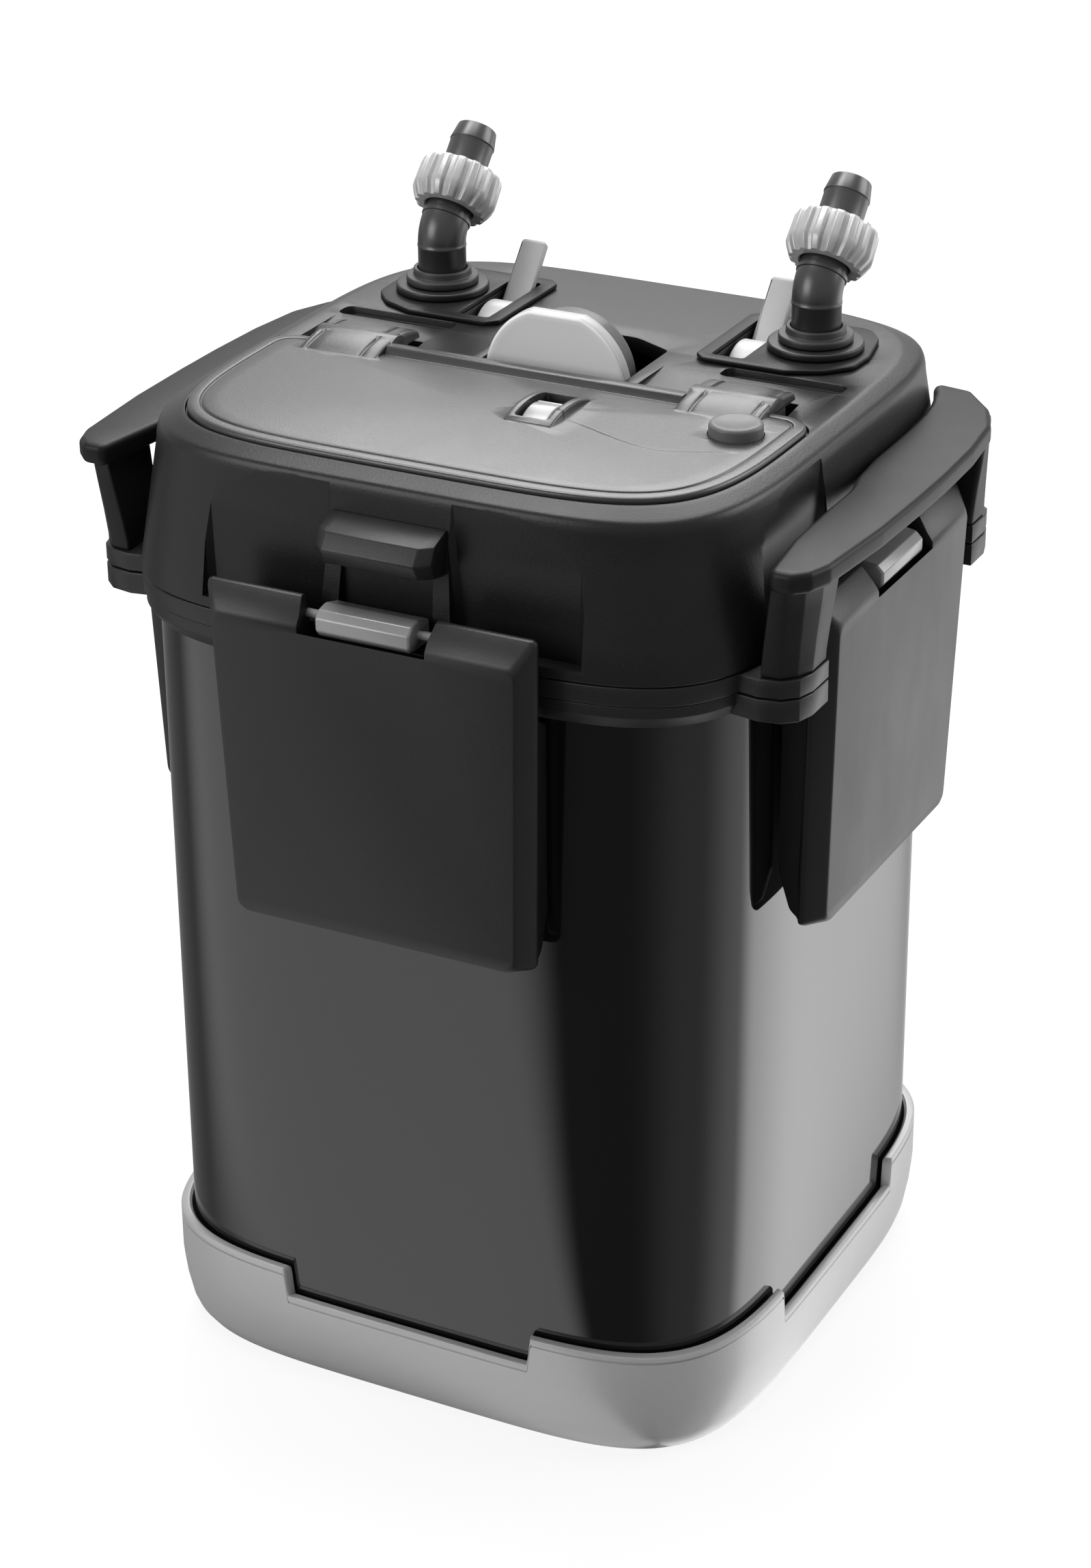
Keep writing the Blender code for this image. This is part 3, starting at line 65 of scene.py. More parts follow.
def setCamera():
    # an eye at aim + distance * back, with the focal length in pixels turned into that of a 36 mm sensor
    a, e, r = (math.radians(lens[k]) for k in ("azimuth", "elevation", "roll"))
    back = Vector((math.sin(a) * math.cos(e), -math.cos(a) * math.cos(e), math.sin(e)))
    flatRight = Vector((math.cos(a), math.sin(a), 0))
    flatUp = back.cross(flatRight)
    right = math.cos(r) * flatRight + math.sin(r) * flatUp
    up = math.cos(r) * flatUp - math.sin(r) * flatRight
    data = bpy.data.cameras.new("camera")
    data.sensor_fit = "VERTICAL"
    data.sensor_height = 36
    data.lens = lens["focal"] / lens["high"] * 36
    data.clip_end = 50
    eye = bpy.data.objects.new("camera", data)
    turn = Matrix((right, up, back)).transposed().to_4x4()
    eye.matrix_world = Matrix.Translation((Vector(lens["aim"]) + back * lens["distance"]) * mm) @ turn
    bpy.context.scene.collection.objects.link(eye)
    bpy.context.scene.camera = eye


setCamera()


class Wire:
    # a node socket that takes part in arithmetic; every result is a new Wire
    def __init__(self, tree, socket=None):
        self.tree = tree
        self.socket = socket

    def make(self, kind, settings, values, output=0):
        # one node: its settings first, then the values or links of its sockets
        node = self.tree.nodes.new("ShaderNode" + kind)
        for key, value in settings.items():
            setattr(node, key, value)
        for key, value in values.items():
            if isinstance(value, Wire):
                value.feed(node.inputs[key])
            else:
                node.inputs[key].default_value = value
        return Wire(self.tree, node.outputs[output])

    def feed(self, socket):
        self.tree.links.new(self.socket, socket)

    def calc(self, operation, *parts):
        return self.make("Math", {"operation": operation}, dict(enumerate(parts)))

    def __add__(self, other):
        return self.calc("ADD", self, other)

    def __sub__(self, other):
        return self.calc("SUBTRACT", self, other)

    def __rsub__(self, other):
        return self.calc("SUBTRACT", other, self)

    def __mul__(self, other):
        return self.calc("MULTIPLY", self, other)

    __radd__ = __add__
    __rmul__ = __mul__

    def top(self, other):
        return self.calc("MAXIMUM", self, other)

    def size(self):
        return self.calc("ABSOLUTE", self)

    def ease(self, start, end):
        # smooth step from 0 at start to 1 at end
        return self.make("MapRange", {"interpolation_type": "SMOOTHSTEP"}, {0: self, 1: start, 2: end})

    def parts(self):
        node = self.tree.nodes.new("ShaderNodeSeparateXYZ")
        self.feed(node.inputs[0])
        return [Wire(self.tree, out) for out in node.outputs]

    def stretched(self, factors):
        return self.make("VectorMath", {"operation": "MULTIPLY"}, {0: self, 1: factors})

    def noise(self, scale, detail=2.0, rough=0.5):
        return self.make("TexNoise", {}, {"Vector": self, "Scale": scale, "Detail": detail, "Roughness": rough})

    def cells(self, scale):
        return self.make("TexVoronoi", {"feature": "F1"}, {"Vector": self, "Scale": scale}, "Distance")

    def mixed(self, first, second):
        # colour mix, with this wire as the mask
        return self.make("Mix", {"data_type": "RGBA"}, {0: self, 6: first, 7: second}, 2)

    def either(self, first, second):
        # shader mix, with this wire as the factor
        return self.make("MixShader", {}, {0: self, 1: first, 2: second})


def grey(value):
    return (value, value, value, 1)


# every finish: grey level, roughness, grain size and depth in millimetres, strength of the clouds and of the dust,
# index of refraction, and a slot name
finishKeys = ("shade", "rough", "grain", "depth", "cloud", "dust", "ior", "slot")
finishRows = {
    "mouldedBlack": (0.008, 0.40, 0.80, 0.048, 0.12, 0.20, 1.33, "head_black"),
    "gripBlack": (0.008, 0.40, 0.80, 0.048, 0.12, 0.20, 1.20, "head_black"),
    "deckBlack": (0.008, 0.35, 0.90, 0.0595, 0.10, 0.25, 1.29, "head_black"),
    "lidBlack": (0.018, 0.32, 0.90, 0.0525, 0.08, 0.30, 1.42, "head_black"),
    "polishedBlack": (0.003, 0.06, 7.00, 0.003, 0.05, 0.12, 1.58, "canister_gloss"),
    "softGrey": (0.260, 0.34, 0.80, 0.022, 0.08, 0.30, 1.90, "skirt_grey"),
    "barGrey": (0.170, 0.26, 0.35, 0.010, 0.06, 0.20, 1.55, "trim_grey"),
    "satinGrey": (0.281, 0.30, 0.35, 0.010, 0.06, 0.20, 1.70, "trim_grey"),
    "leverGrey": (0.256, 0.40, 0.50, 0.018, 0.08, 0.30, 1.50, "trim_grey"),
    "dialGrey": (0.720, 0.40, 0.40, 0.006, 0.03, 0.10, 1.48, "dial_grey"),
    "whitePlastic": (0.325, 0.38, 0.50, 0.008, 0.04, 0.10, 1.48, "white_plastic"),
    "buttonGrey": (0.100, 0.30, 0.40, 0.010, 0.05, 0.20, 1.20, "button_silver"),
    "blackRubber": (0.014, 0.50, 0.60, 0.030, 0.15, 0.50, 1.45, "rubber_black"),
    "hoseBlack": (0.022, 0.32, 0.70, 0.018, 0.10, 0.30, 1.50, "head_black"),
}
finishes = {name: dict(zip(finishKeys, row)) for name, row in finishRows.items()}
# painted shade: the disc's rim is painted darker than its faces, so that the lamps above don't show it brighter than
# them
finishes["dialGrey"]["rim"] = 0.6  # share by which the disc's rim is darker than its faces
made = {}


def blank(name):
    # a new material, its shader's sockets, and the Object coordinates that its pattern reads
    material = bpy.data.materials.new(name)
    material.use_nodes = True
    made[name] = material
    sockets = material.node_tree.nodes["Principled BSDF"].inputs
    return material, sockets, Wire(material.node_tree).make("TexCoord", {}, {}, "Object")


def plastic(name, relief=None):
    # moulded plastic: spark-eroded grain, faint clouds in tone and gloss, smears and specks of dust, and painted shade
    # on the rim where a finish has a rim share
    key = name + (relief.__name__ if relief else "")
    if key in made:
        return made[key]
    look = finishes[name]
    material, sockets, place = blank(key)
    grain = place.noise(1000 / look["grain"], 3.0, 0.6)
    cloud = place.noise(22, 3.0)
    smear = place.stretched((1.0, 1.0, 0.35)).noise(70, 4.0, 0.6)
    speck = (1 - place.cells(1 / (2.6 * mm)).ease(0.05, 0.11)) * place.noise(160, 1.0).ease(0.5, 0.62)
    tone = 1 + look["cloud"] * (cloud - 0.5) * 2 + 0.10 * (grain - 0.5)
    if "rim" in look:
        # painted shade: the disc faces along y, so its rim, where the normal turns away from y, is painted darker by
        # the rim share
        facing = place.make("TexCoord", {}, {}, "Normal").parts()[1]
        tone = tone * (1 - look["rim"] * (1 - facing * facing).ease(0.3, 0.9))
    base = place.make("VectorMath", {"operation": "SCALE"}, {0: grey(look["shade"])[:3], "Scale": tone})
    (speck * look["dust"] * 0.25).mixed(base, grey(0.28)).feed(sockets["Base Color"])
    (look["rough"] + 0.09 * (smear - 0.5) + 0.06 * (cloud - 0.5) + speck * 0.12).feed(sockets["Roughness"])
    height = grain * look["depth"]
    if relief:
        height = height + relief(place)
    place.make("Bump", {}, {"Strength": 1.0, "Distance": mm, "Height": height}).feed(sockets["Normal"])
    sockets["IOR"].default_value = look["ior"]
    return material


def metal(name, shade, rough, tint=(1, 1, 1), brush=(1, 1, 12)):
    # turned or drawn metal: noise stretched along brush makes its lines
    if name in made:
        return made[name]
    material, sockets, place = blank(name)
    lines = place.stretched(brush).noise(900, 2.0)
    dark, light = ([shade * t * share for t in tint] + [1] for share in (0.85, 1))
    lines.ease(0.2, 0.8).mixed(dark, light).feed(sockets["Base Color"])
    (rough + 0.2 * (lines - 0.5)).feed(sockets["Roughness"])
    sockets["Metallic"].default_value = 1.0
    place.make("Bump", {}, {"Strength": 0.4, "Distance": 0.02 * mm, "Height": lines}).feed(sockets["Normal"])
    return material


def porous(name, shade, tint, hole, deep):
    # foam, ceramic or floss: open cells of one size, with painted shade in their pits and a fibre tone that varies at
    # random
    material, sockets, place = blank(name)
    pit = place.cells(1000 / hole).ease(0.1, 0.6)
    fibre = place.noise(400, 4.0, 0.7)
    dark, light = ([shade * t * share for t in tint] + [1] for share in (0.35, 1))
    # painted shade: the pits, where the bump sinks in, are painted darker, mixed with the random fibre tone
    (pit * 0.7 + fibre * 0.3).mixed(dark, light).feed(sockets["Base Color"])
    sockets["Roughness"].default_value = 0.95
    height = pit + 0.5 * fibre
    place.make("Bump", {}, {"Strength": 1.0, "Distance": deep * mm, "Height": height}).feed(sockets["Normal"])
    return material


# shape tools: points are arrays in millimetres
def superPlan(count=288, dense=()):
    # |x|^s + |y|^s = 1 with s the squareness; points evenly spaced along it, and closer together where dense says
    t = np.linspace(0, 2 * np.pi, 24001)
    x = np.sign(np.cos(t)) * np.abs(np.cos(t)) ** (2 / squareness)
    y = np.sign(np.sin(t)) * np.abs(np.sin(t)) ** (2 / squareness)
    run = np.concatenate([[0], np.cumsum(np.hypot(np.diff(x), np.diff(y)))])
    weight = np.ones(len(run))
    for centre, reach in dense:
        weight[np.abs(np.minimum(np.abs(x), np.abs(y)) - centre) < reach] = 6
    run = np.concatenate([[0], np.cumsum(np.diff(run) * weight[1:])])
    want = np.linspace(0, run[-1], count, endpoint=False)
    return np.stack([np.interp(want, run, x), np.interp(want, run, y)], 1)


def sideAt(half, along):
    # x on the rounded square of that half width, at y = along
    return half * (1 - abs(along / half) ** squareness) ** (1 / squareness)


def fillet(points, radius, steps=5):
    # rounds each corner of a closed polyline with an arc; radius is one value or one for each corner
    pts = [np.array(p, float) for p in points]
    count = len(pts)
    radii = [radius] * count if np.isscalar(radius) else list(radius)
    out = []
    for k, here in enumerate(pts):
        before, after = pts[k - 1] - here, pts[(k + 1) % count] - here
        lengthA, lengthB = np.linalg.norm(before), np.linalg.norm(after)
        a, b = before / lengthA, after / lengthB
        bend = math.acos(max(-1, min(1, float(a @ b))))
        if radii[k] <= 0 or math.pi - bend < 0.05:
            out.append(here)
            continue
        reach = min(radii[k] / math.tan(bend / 2), 0.49 * lengthA, 0.49 * lengthB)
        small = reach * math.tan(bend / 2)
        centre = here + (a + b) / np.linalg.norm(a + b) * small / math.sin(bend / 2)
        first, last = here + a * reach - centre, here + b * reach - centre
        turn = math.pi - bend
        t = np.linspace(0, 1, steps + 1)[:, None]
        out.extend(centre + (np.sin((1 - t) * turn) * first + np.sin(t * turn) * last) / math.sin(turn))
    return np.array(out)


def oblong(x0, y0, x1, y1):
    return np.array([(x0, y0), (x1, y0), (x1, y1), (x0, y1)], float)


def span(side, near, far):
    # the two ends of a stretch on one side of the middle, the lower first
    return sorted((side * near, side * far))


def inward(plan):
    # unit normals of a closed outline, towards its inside
    run = np.roll(plan, -1, 0) - np.roll(plan, 1, 0)
    normal = np.stack([-run[:, 1], run[:, 0]], 1)
    normal /= np.linalg.norm(normal, axis=1)[:, None] + 1e-12
    area = np.sum(plan[:, 0] * np.roll(plan[:, 1], -1) - plan[:, 1] * np.roll(plan[:, 0], -1))
    return normal if area > 0 else -normal


def ring(points, axis, value):
    # a flat outline in space: value is its coordinate along the given axis, the points are the other two
    return np.insert(np.asarray(points, float), axis, value, 1)


def stack(plan, profile):
    # one ring of the plan for each (half width, height) of a profile
    return np.array([ring(half * plan, 2, z) for half, z in profile])


def quads(rows, cols, loop):
    # faces of a grid of rows, closed round its columns, and round its rows too if loop
    r, c = np.meshgrid(np.arange(rows if loop else rows - 1), np.arange(cols), indexing="ij")
    nextRow, nextCol = (r + 1) % rows, (c + 1) % cols
    corners = [r * cols + c, r * cols + nextCol, nextRow * cols + nextCol, nextRow * cols + c]
    return np.stack(corners, -1).reshape(-1, 4)


def skin(name, rings, loop=False, smooth=30.0):
    # a closed surface over a stack of rings, array (rows, columns, 3)
    rings = np.asarray(rings, float)
    rows, cols = rings.shape[:2]
    faces = quads(rows, cols, loop).tolist()
    if not loop:
        faces += [list(range(cols)), list(range((rows - 1) * cols, rows * cols))]
    mesh = bpy.data.meshes.new(name)
    mesh.from_pydata((rings.reshape(-1, 3) * mm).tolist(), [], faces)
    piece = bpy.data.objects.new(name, mesh)
    bpy.context.scene.collection.objects.link(piece)
    return tidy(piece, smooth, split=False)


def tidy(piece, smooth=30.0, near=2e-6, split=True):
    # merges doubles, turns the faces outwards, splits wide faces and sets what is smooth
    shape = bmesh.new()
    shape.from_mesh(piece.data)
    bmesh.ops.remove_doubles(shape, verts=shape.verts, dist=near)
    bmesh.ops.recalc_face_normals(shape, faces=shape.faces)
    if split:
        bmesh.ops.triangulate(shape, faces=[face for face in shape.faces if len(face.verts) > 4])
    shape.to_mesh(piece.data)
    shape.free()
    piece.data.shade_smooth()
    piece.data.set_sharp_from_angle(angle=math.radians(smooth))
    return piece


def settle(piece):
    # takes the modifiers' result as the mesh
    bpy.context.view_layer.update()
    result = bpy.data.meshes.new_from_object(piece.evaluated_get(bpy.context.evaluated_depsgraph_get()))
    piece.modifiers.clear()
    piece.data = result
    return piece


def boolean(piece, tools, operation):
    # joins the tools to the piece or cuts them out of it, and then removes them
    for tool in tools:
        change = piece.modifiers.new("shape", "BOOLEAN")
        change.operation = operation
        change.object = tool
        change.solver = "EXACT"
    settle(piece)
    for tool in tools:
        bpy.data.objects.remove(tool, do_unlink=True)
    return piece


def carve(piece, *tools):
    return boolean(piece, tools, "DIFFERENCE")


def weld(piece, *tools):
    return boolean(piece, tools, "UNION")


def soften(piece, width, angle=32.0):
    # a small round along every sharp edge
    tidy(piece, near=2e-5, split=False)
    bevel = piece.modifiers.new("round", "BEVEL")
    bevel.width = width * mm
    bevel.segments = 2
    bevel.limit_method = "ANGLE"
    bevel.angle_limit = math.radians(angle)
    bevel.use_clamp_overlap = False
    bevel.harden_normals = False
    bevel.miter_outer = "MITER_ARC"
    return tidy(settle(piece), 38.0)


def moved(piece, matrix):
    # turns and shifts the mesh by a placement written in millimetres
    matrix = matrix.copy()
    matrix.translation *= mm
    piece.data.transform(matrix)
    return piece


def slab(name, plan, low, high, edge=0.01, steps=1):
    # an outline raised from low to high, with quarter-round edges
    normal = inward(plan)
    a = np.linspace(0, np.pi / 2, steps + 1)
    inset, rise = edge * (1 - np.sin(a)), edge * (1 - np.cos(a))
    levels = [*zip(inset, low + rise), *zip(inset[::-1], high - rise[::-1])]
    return skin(name, [ring(plan + step * normal, 2, z) for step, z in levels])


def turned(name, profile, matrix, count=72, loop=False, smooth=30.0):
    # a profile of (radius, height) spun round z, then placed
    t = np.linspace(0, 2 * np.pi, count, endpoint=False)
    circle = np.stack([np.cos(t), np.sin(t)], 1)
    return moved(skin(name, stack(circle, profile), loop, smooth), matrix)


def at(x, y, z):
    return Matrix.Translation((x, y, z))


def spin(degrees, axis):
    return Matrix.Rotation(math.radians(degrees), 4, axis)


alongX = spin(90, "Y")
alongY = spin(-90, "X")
rodLine = at(0, -5, 374.5) @ alongX  # the lid's hinge line


def rod(name, radius, start, end, matrix, count=48):
    return turned(name, [(radius, start), (radius, end)], matrix, count)


def brick(name, low, high):
    # a box between two opposite corners
    plan = oblong(low[0], low[1], high[0], high[1])
    return skin(name, [ring(plan, 2, z) for z in (low[2], high[2])])


def wear(piece, finish, body, node, relief=None, name=None):
    # gives a piece its finish, its body, the CAD node that it stands for, and its own name if it has none yet
    piece.name = name or piece.name
    piece.data.materials.clear()
    piece.data.materials.append(plastic(finish, relief))
    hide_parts(node)
    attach(piece, body)


plan = superPlan()


# base: the soft foot, the canister and the collar on its rim
foot = {
    "half": 125.0, "tuck": 6.0, "crease": 28.0, "high": 46.0, "notch": 12.0, "notchHalf": 53.5, "slope": 2.0,
    "hem": 0.9, "inside": 121.5, "floor": 112.0,
}


def softFoot():
    # profile carried round the plan, whose top edge falls by the notch's depth between two slopes
    dense = superPlan(640, dense=[(foot["notchHalf"] / foot["half"], 0.03)])
    flat = np.minimum(np.abs(dense[:, 0]), np.abs(dense[:, 1])) * foot["half"]
    t = np.clip((flat - foot["notchHalf"] + foot["slope"]) / foot["slope"], 0, 1)
    top = foot["high"] - foot["notch"] * (1 - t * t * (3 - 2 * t))
    half, tuck, hem, inside = (foot[k] for k in ("half", "tuck", "hem", "inside"))
    profile = [(half - tuck - 2, 0), (half - tuck, 0.3), (half - 0.62 * tuck, 4), (half - 0.4 * tuck, 8),
               (half - 0.9, 17), (half - 0.25, 24), (half, foot["crease"])]
    profile += [(half + out, top - below) for out, below in (
        (0, 3.4), (-0.45, 3.1), (-0.45, 2.6), (0, 2.3), (0, hem), (-0.3 * hem, 0.3 * hem), (-hem, 0))]
    profile += [(inside + 0.8, top), (inside, top - 0.8), (inside, 20), (inside, 12.6), (117.8, 8),
                (foot["floor"] + 3, 6)]
    return skin("softFoot", stack(dense, profile), smooth=34)


wear(softFoot(), "softGrey", "filter", "base_skirt")

body = {"half": 120.5, "wall": 3.0, "round": 6.0}


def canisterShell():
    # rings of the plan up the outer wall, over the rim and down the inner wall
    h, w, r, low, rim = body["half"], body["wall"], body["round"], level["canisterLow"], level["rim"]
    a = np.linspace(0, np.pi / 2, 7)
    outerRound = [(h - r * (1 - math.sin(t)), low + r * (1 - math.cos(t))) for t in a]
    innerRound = [(half - w, z + w) for half, z in outerRound[::-1]]
    profile = [(60, low)] + outerRound + [(h, z) for z in np.linspace(40, rim - 0.6, 8)]
    profile += [(h - 0.6, rim), (h - w + 0.6, rim), (h - w, rim - 0.6)] + innerRound + [(60, low + w)]
    return skin("canisterShell", stack(plan, profile), smooth=40)


wear(canisterShell(), "polishedBlack", "filter", "canister")

collar = {"sleeve": 120.8, "half": 124.6, "ledge": 114.5, "under": 306.3}


def padPlan(side, end):
    # outline of the pad under a handle post, outside the round corner
    stop, reach = 91.0, 141.5
    inner = [(sideAt(122.1, y), y) for y in np.linspace(67, stop, 7)]
    outer = [(126, stop + 2.0), (134.5, stop + 0.5), (139.5, stop - 4.0), (reach, stop - 11), (reach, 67)]
    return np.array([(side * x, end * y) for x, y in inner + outer])


def pads(low, high):
    # one pad under each end of both handles
    return [slab("pad", padPlan(side, end), low, high, 0.5, 2) for side in (-1, 1) for end in (-1, 1)]


def collarRing():
    # closed profile round the plan: an inward-sloping foot, an upright band and the inner ledge
    low, top = level["collarLow"], level["collarTop"]
    sleeve, half, ledge, under = (collar[k] for k in ("sleeve", "half", "ledge", "under"))
    profile = fillet([(sleeve, low), (sleeve + 0.8, low), (half, 305), (half, top), (ledge, top), (ledge, under),
                      (sleeve, under)], [0.2, 0.3, 0.9, 0.5, 0.4, 0.2, 0.3], 4)
    return weld(skin("collarRing", stack(plan, profile), loop=True), *pads(low + 0.6, top - 0.15))


wear(soften(collarRing(), 0.2), "mouldedBlack", "filter", "canister_collar")

# pipes: the head plate's holes follow the hose connectors
hose = {"x": 78.4, "y": 63.0, "tilt": math.radians(43), "bend": 11.0, "rise": 15.0, "ribs": 16}
plate = {"half": 125.5, "tongue": 112.0, "inside": 108.0, "deep": 8.5}


def headPlate():
    # a flange with a tongue that goes down inside the collar, closed by a middle with the two pipe holes and the
    # impeller's hole
    low, top = level["plateLow"], level["plateTop"]
    half, tongue, inside, foot = plate["half"], plate["tongue"], plate["inside"], low - plate["deep"]
    profile = fillet([(inside, low), (inside, foot), (tongue, foot), (tongue, low), (half, low), (half, top),
                      (inside - 20, top), (inside - 20, low)], [0, 0.5, 0.5, 0.3, 0.7, 0.7, 0, 0], 3)
    piece = weld(skin("headPlate", stack(plan, profile), loop=True), *pads(low + 0.15, top - 0.15),
                 slab("plateMiddle", plan * (inside - 12), low, top, 0.2, 1))
    holes = ((-hose["x"], hose["y"], 9.8), (hose["x"], hose["y"], 8.3), (0, 25, 11.8))
    return carve(piece, *[rod("hole", r, low - 12, top + 8, at(x, y, 0)) for x, y, r in holes])


wear(soften(headPlate(), 0.2), "mouldedBlack", "filter", "head_plate")
print("base and canister made")


# head: one shroud with a rounded shoulder, a lid recess, wall pockets and wells
head = {
    "foot": 126.0, "neck": 119.0, "inside": 115.2, "shoulder": 366.0, "pocketFloor": 118.2, "pocketFrom": 22.0,
    "pocketTo": 74.0, "pocketLow": 321.0, "pocketHigh": 371.0, "towerSpread": 4.0,
}

# valve and lid: sizes that the head is cut to fit as well
valve = {"x": 53.0, "z": 360.5, "slot": 6.5, "tilt": math.radians(41), "half": 5.5}
lid = {
    "half": 109.5, "rear": -7.0, "corner": 12.0, "dome": 1.5, "groove": 0.55, "catchX": 21.5, "catchY": -43.5,
    "browAhead": 19.0, "browBehind": 17.0, "buttonX": 90.0, "buttonY": -33.0,
}


def wallAt(z):
    # half width of the shroud's wall, which leans in by 7 over a height of 49
    return head["foot"] - 7 * (z - level["headLow"]) / 49


def lidPlan(half, rear):
    # the plan's front part, closed by a straight rear edge with round corners
    corner = lid["corner"]
    side = sideAt(half, abs(rear - corner))
    whole = superPlan(720) * half
    order = whole[whole[:, 1] < rear - corner]
    angle = np.arctan2(order[:, 0], -order[:, 1])
    order = order[np.argsort(angle)]
    arc = np.linspace(0, np.pi / 2, 9)
    right = np.stack([side - corner + corner * np.cos(arc), rear - corner + corner * np.sin(arc)], 1)
    left = right[::-1] * (-1, 1)
    straight = np.stack([np.linspace(side - corner, corner - side, 30)[1:-1], np.full(28, rear)], 1)
    return np.vstack([order, right, straight, left])


def leverSlot(side, low, high, steps=3):
    # the cutter of the slot that a lever swings in
    x0, x1 = side * valve["x"] - valve["slot"], side * valve["x"] + valve["slot"]
    return slab("leverSlot", fillet(oblong(x0, 40, x1, 84.5), 1.5, steps), low, high)


def shroud():
    # profile of wall, shoulder and deck round the plan, with pockets and wells cut out of it
    h = head
    low, deck = level["headLow"], level["deck"]
    deep, clear = deck - 12, deck + 8  # cutters that pass through the deck
    shoulder = [(h["neck"] - run, h["shoulder"] + rise) for run, rise in (
        (0.15, 2.3), (0.5, 4.4), (1.0, 5.9), (1.6, 6.75), (2.3, 7.25), (3.2, 7.7), (6.6, 9.3), (7.3, 9.6), (7.9, 9.82))]
    profile = [(90, deck - 6), (104, deck - 6), (112.2, deck - 6), (h["inside"], deck - 12), (h["inside"], low),
               (h["foot"] - 0.6, low), (h["foot"], low + 0.6)]
    profile += [(wallAt(z), z) for z in (330, 345, 357)]
    profile += [(h["neck"], h["shoulder"])] + shoulder + [(110.4, deck - 0.04), (109.6, deck), (60, deck)]
    piece = skin("headShroud", stack(plan, profile), smooth=34)
    tools = [slab("recess", lidPlan(lid["half"] + 0.6, lid["rear"] + 0.9), deck - 2, clear),
             slab("service", lidPlan(lid["half"] - 10, lid["rear"] - 14), deep, clear)]
    for side in (-1, 1):
        ramp = [(-7.1, deck - 3.6), (26, deck + 0.05), (26, deck + 10), (-7.1, deck + 10)]
        tools.append(skin("ramp", [ring(ramp, 0, x) for x in span(side, 34, 103)]))
        x0, x1 = span(side, 59.6, 93.6)
        tools.append(brick("well", (x0, -13.6, deep), (x1, 13, clear)))
        tools.append(rod("rodGroove", 1.8, *span(side, 54.9, 98.3), rodLine, 16))
        x0, x1 = span(side, 56, 104)
        tools.append(slab("groove", fillet(oblong(x0, 25.5, x1, 34.5), 3, 4), deck - 3.2, clear))
        tools.append(rod("adapterHole", 13.3, deep, clear, at(side * hose["x"], hose["y"], 0), 64))
        tools.append(leverSlot(side, deep, clear))
    pocket = fillet([(-30, 1.2), (28.5, 1.2), (28.5, 41), (12, 49.2), (-30, 49.2)], [1, 1, 3, 14, 9], 6)
    tools.append(slab("dialPocket", pocket, deep, clear))
    tools.append(rod("buttonWell", 12.7, deep, clear, at(lid["buttonX"], lid["buttonY"], 0), 64))
    piece = soften(carve(piece, *tools), 0.4)
    walls = []
    for quarter, hands in ((0, (-1, 1)), (1, (-1,)), (2, (-1, 1)), (3, (1,))):
        walls.extend(pocketTool(quarter, hand) for hand in hands)
        if quarter % 2 == 0:
            walls.append(towerWindow(quarter))
    return tidy(carve(piece, *walls), 30)


def towerWindow(quarter):
    # a shallow recess in the tower under its catch block, between two ribs
    section = fillet([(-19, 319), (19, 319), (18, 344.5), (-18, 344.5)], 1.2, 3)
    return moved(skin("window", [ring(section, 1, y) for y in (-130, -120.6)]), spin(90 * quarter, "Z"))


def pocketTool(quarter, hand):
    # a recess beside a tower: its side near the tower leans, so the tower widens downwards
    low, high, floor = head["pocketLow"], head["pocketHigh"], head["pocketFloor"]
    rings = []
    for z in np.linspace(low, high, 9):
        t = (high - z) / (high - low)
        near = head["pocketFrom"] + head["towerSpread"] * t
        far = head["pocketTo"] + 1.5 * (1 - t)
        pts = np.array([(near, -130), (far + 3, -130), (far, -floor - 2), (far - 2.5, -floor), (near + 2, -floor),
                        (near, -floor - 2)])
        rings.append(ring(pts * (hand, 1), 2, z))
    return moved(skin("pocket", rings), spin(90 * quarter, "Z"))


shroudPiece = shroud()
wear(shroudPiece, "deckBlack", "filter", "head_shroud")
print("shroud made", len(shroudPiece.data.polygons))

block = {"wide": 45.0, "low": 346.0, "high": 16.0, "out": 136.0, "slant": 4.5}


def catchBlock(turn):
    # wedge section across the wall, with slanted ends
    b = block
    low, top = b["low"], b["low"] + b["high"]
    inner = lambda z: wallAt(z) + 0.35
    section = fillet([(-inner(low), low), (-b["out"] + 3, low + 1.5), (-b["out"], low + 7.2),
                      (-b["out"] + 4, low + 12.8), (-inner(top), top)], [0, 1, 1.4, 1.4, 0], 4)
    half = b["wide"] / 2
    rings = []
    for x, pull in ((-half, b["slant"]), (-half + b["slant"], 0), (half - b["slant"], 0), (half, b["slant"])):
        y = np.minimum(section[:, 0] + pull * np.clip((-section[:, 0] - 122) / 14, 0, 1), 0)
        rings.append(ring(np.stack([y, section[:, 1]], 1), 0, x))
    return moved(soften(skin("catchBlock", rings), 0.4), spin(turn, "Z"))


for word, turn in (("front", 0), ("back", 180)):
    wear(catchBlock(turn), "mouldedBlack", "filter", "catch_block_" + word, name="catchBlock" + word.capitalize())

grip = {"low": 350.5, "top": 358.5, "edge": 2.4}


def gripPlan(side):
    # outline of the wing: its rear half hugs the shroud and its front half stands free round the hand gap
    hug = wallAt(354) + 1.4
    arc = superPlan(288) * hug
    keep = arc[(arc[:, 0] > 0) & (arc[:, 1] > 4) & (arc[:, 1] < 99.6)]
    keep = keep[np.argsort(-keep[:, 1])][::4]
    inner = [tuple(p) for p in keep] + [(123.6, -4), (126.2, -16), (126.2, -38), (127, -67)]
    front = [(131.2, -97), (140, -97), (145, -92), (148.1, -83), (151.2, -45), (152, -12), (152, 12), (151, 40),
             (148.1, 64.2), (141, 81), (128.1, 96)]
    radii = [3] + [8] * (len(keep) - 1) + [40, 40, 30, 20, 3.5, 4, 5, 9, 20, 20, 20, 20, 15, 12, 4]
    return fillet(inner + front, radii, 4) * (side, 1)


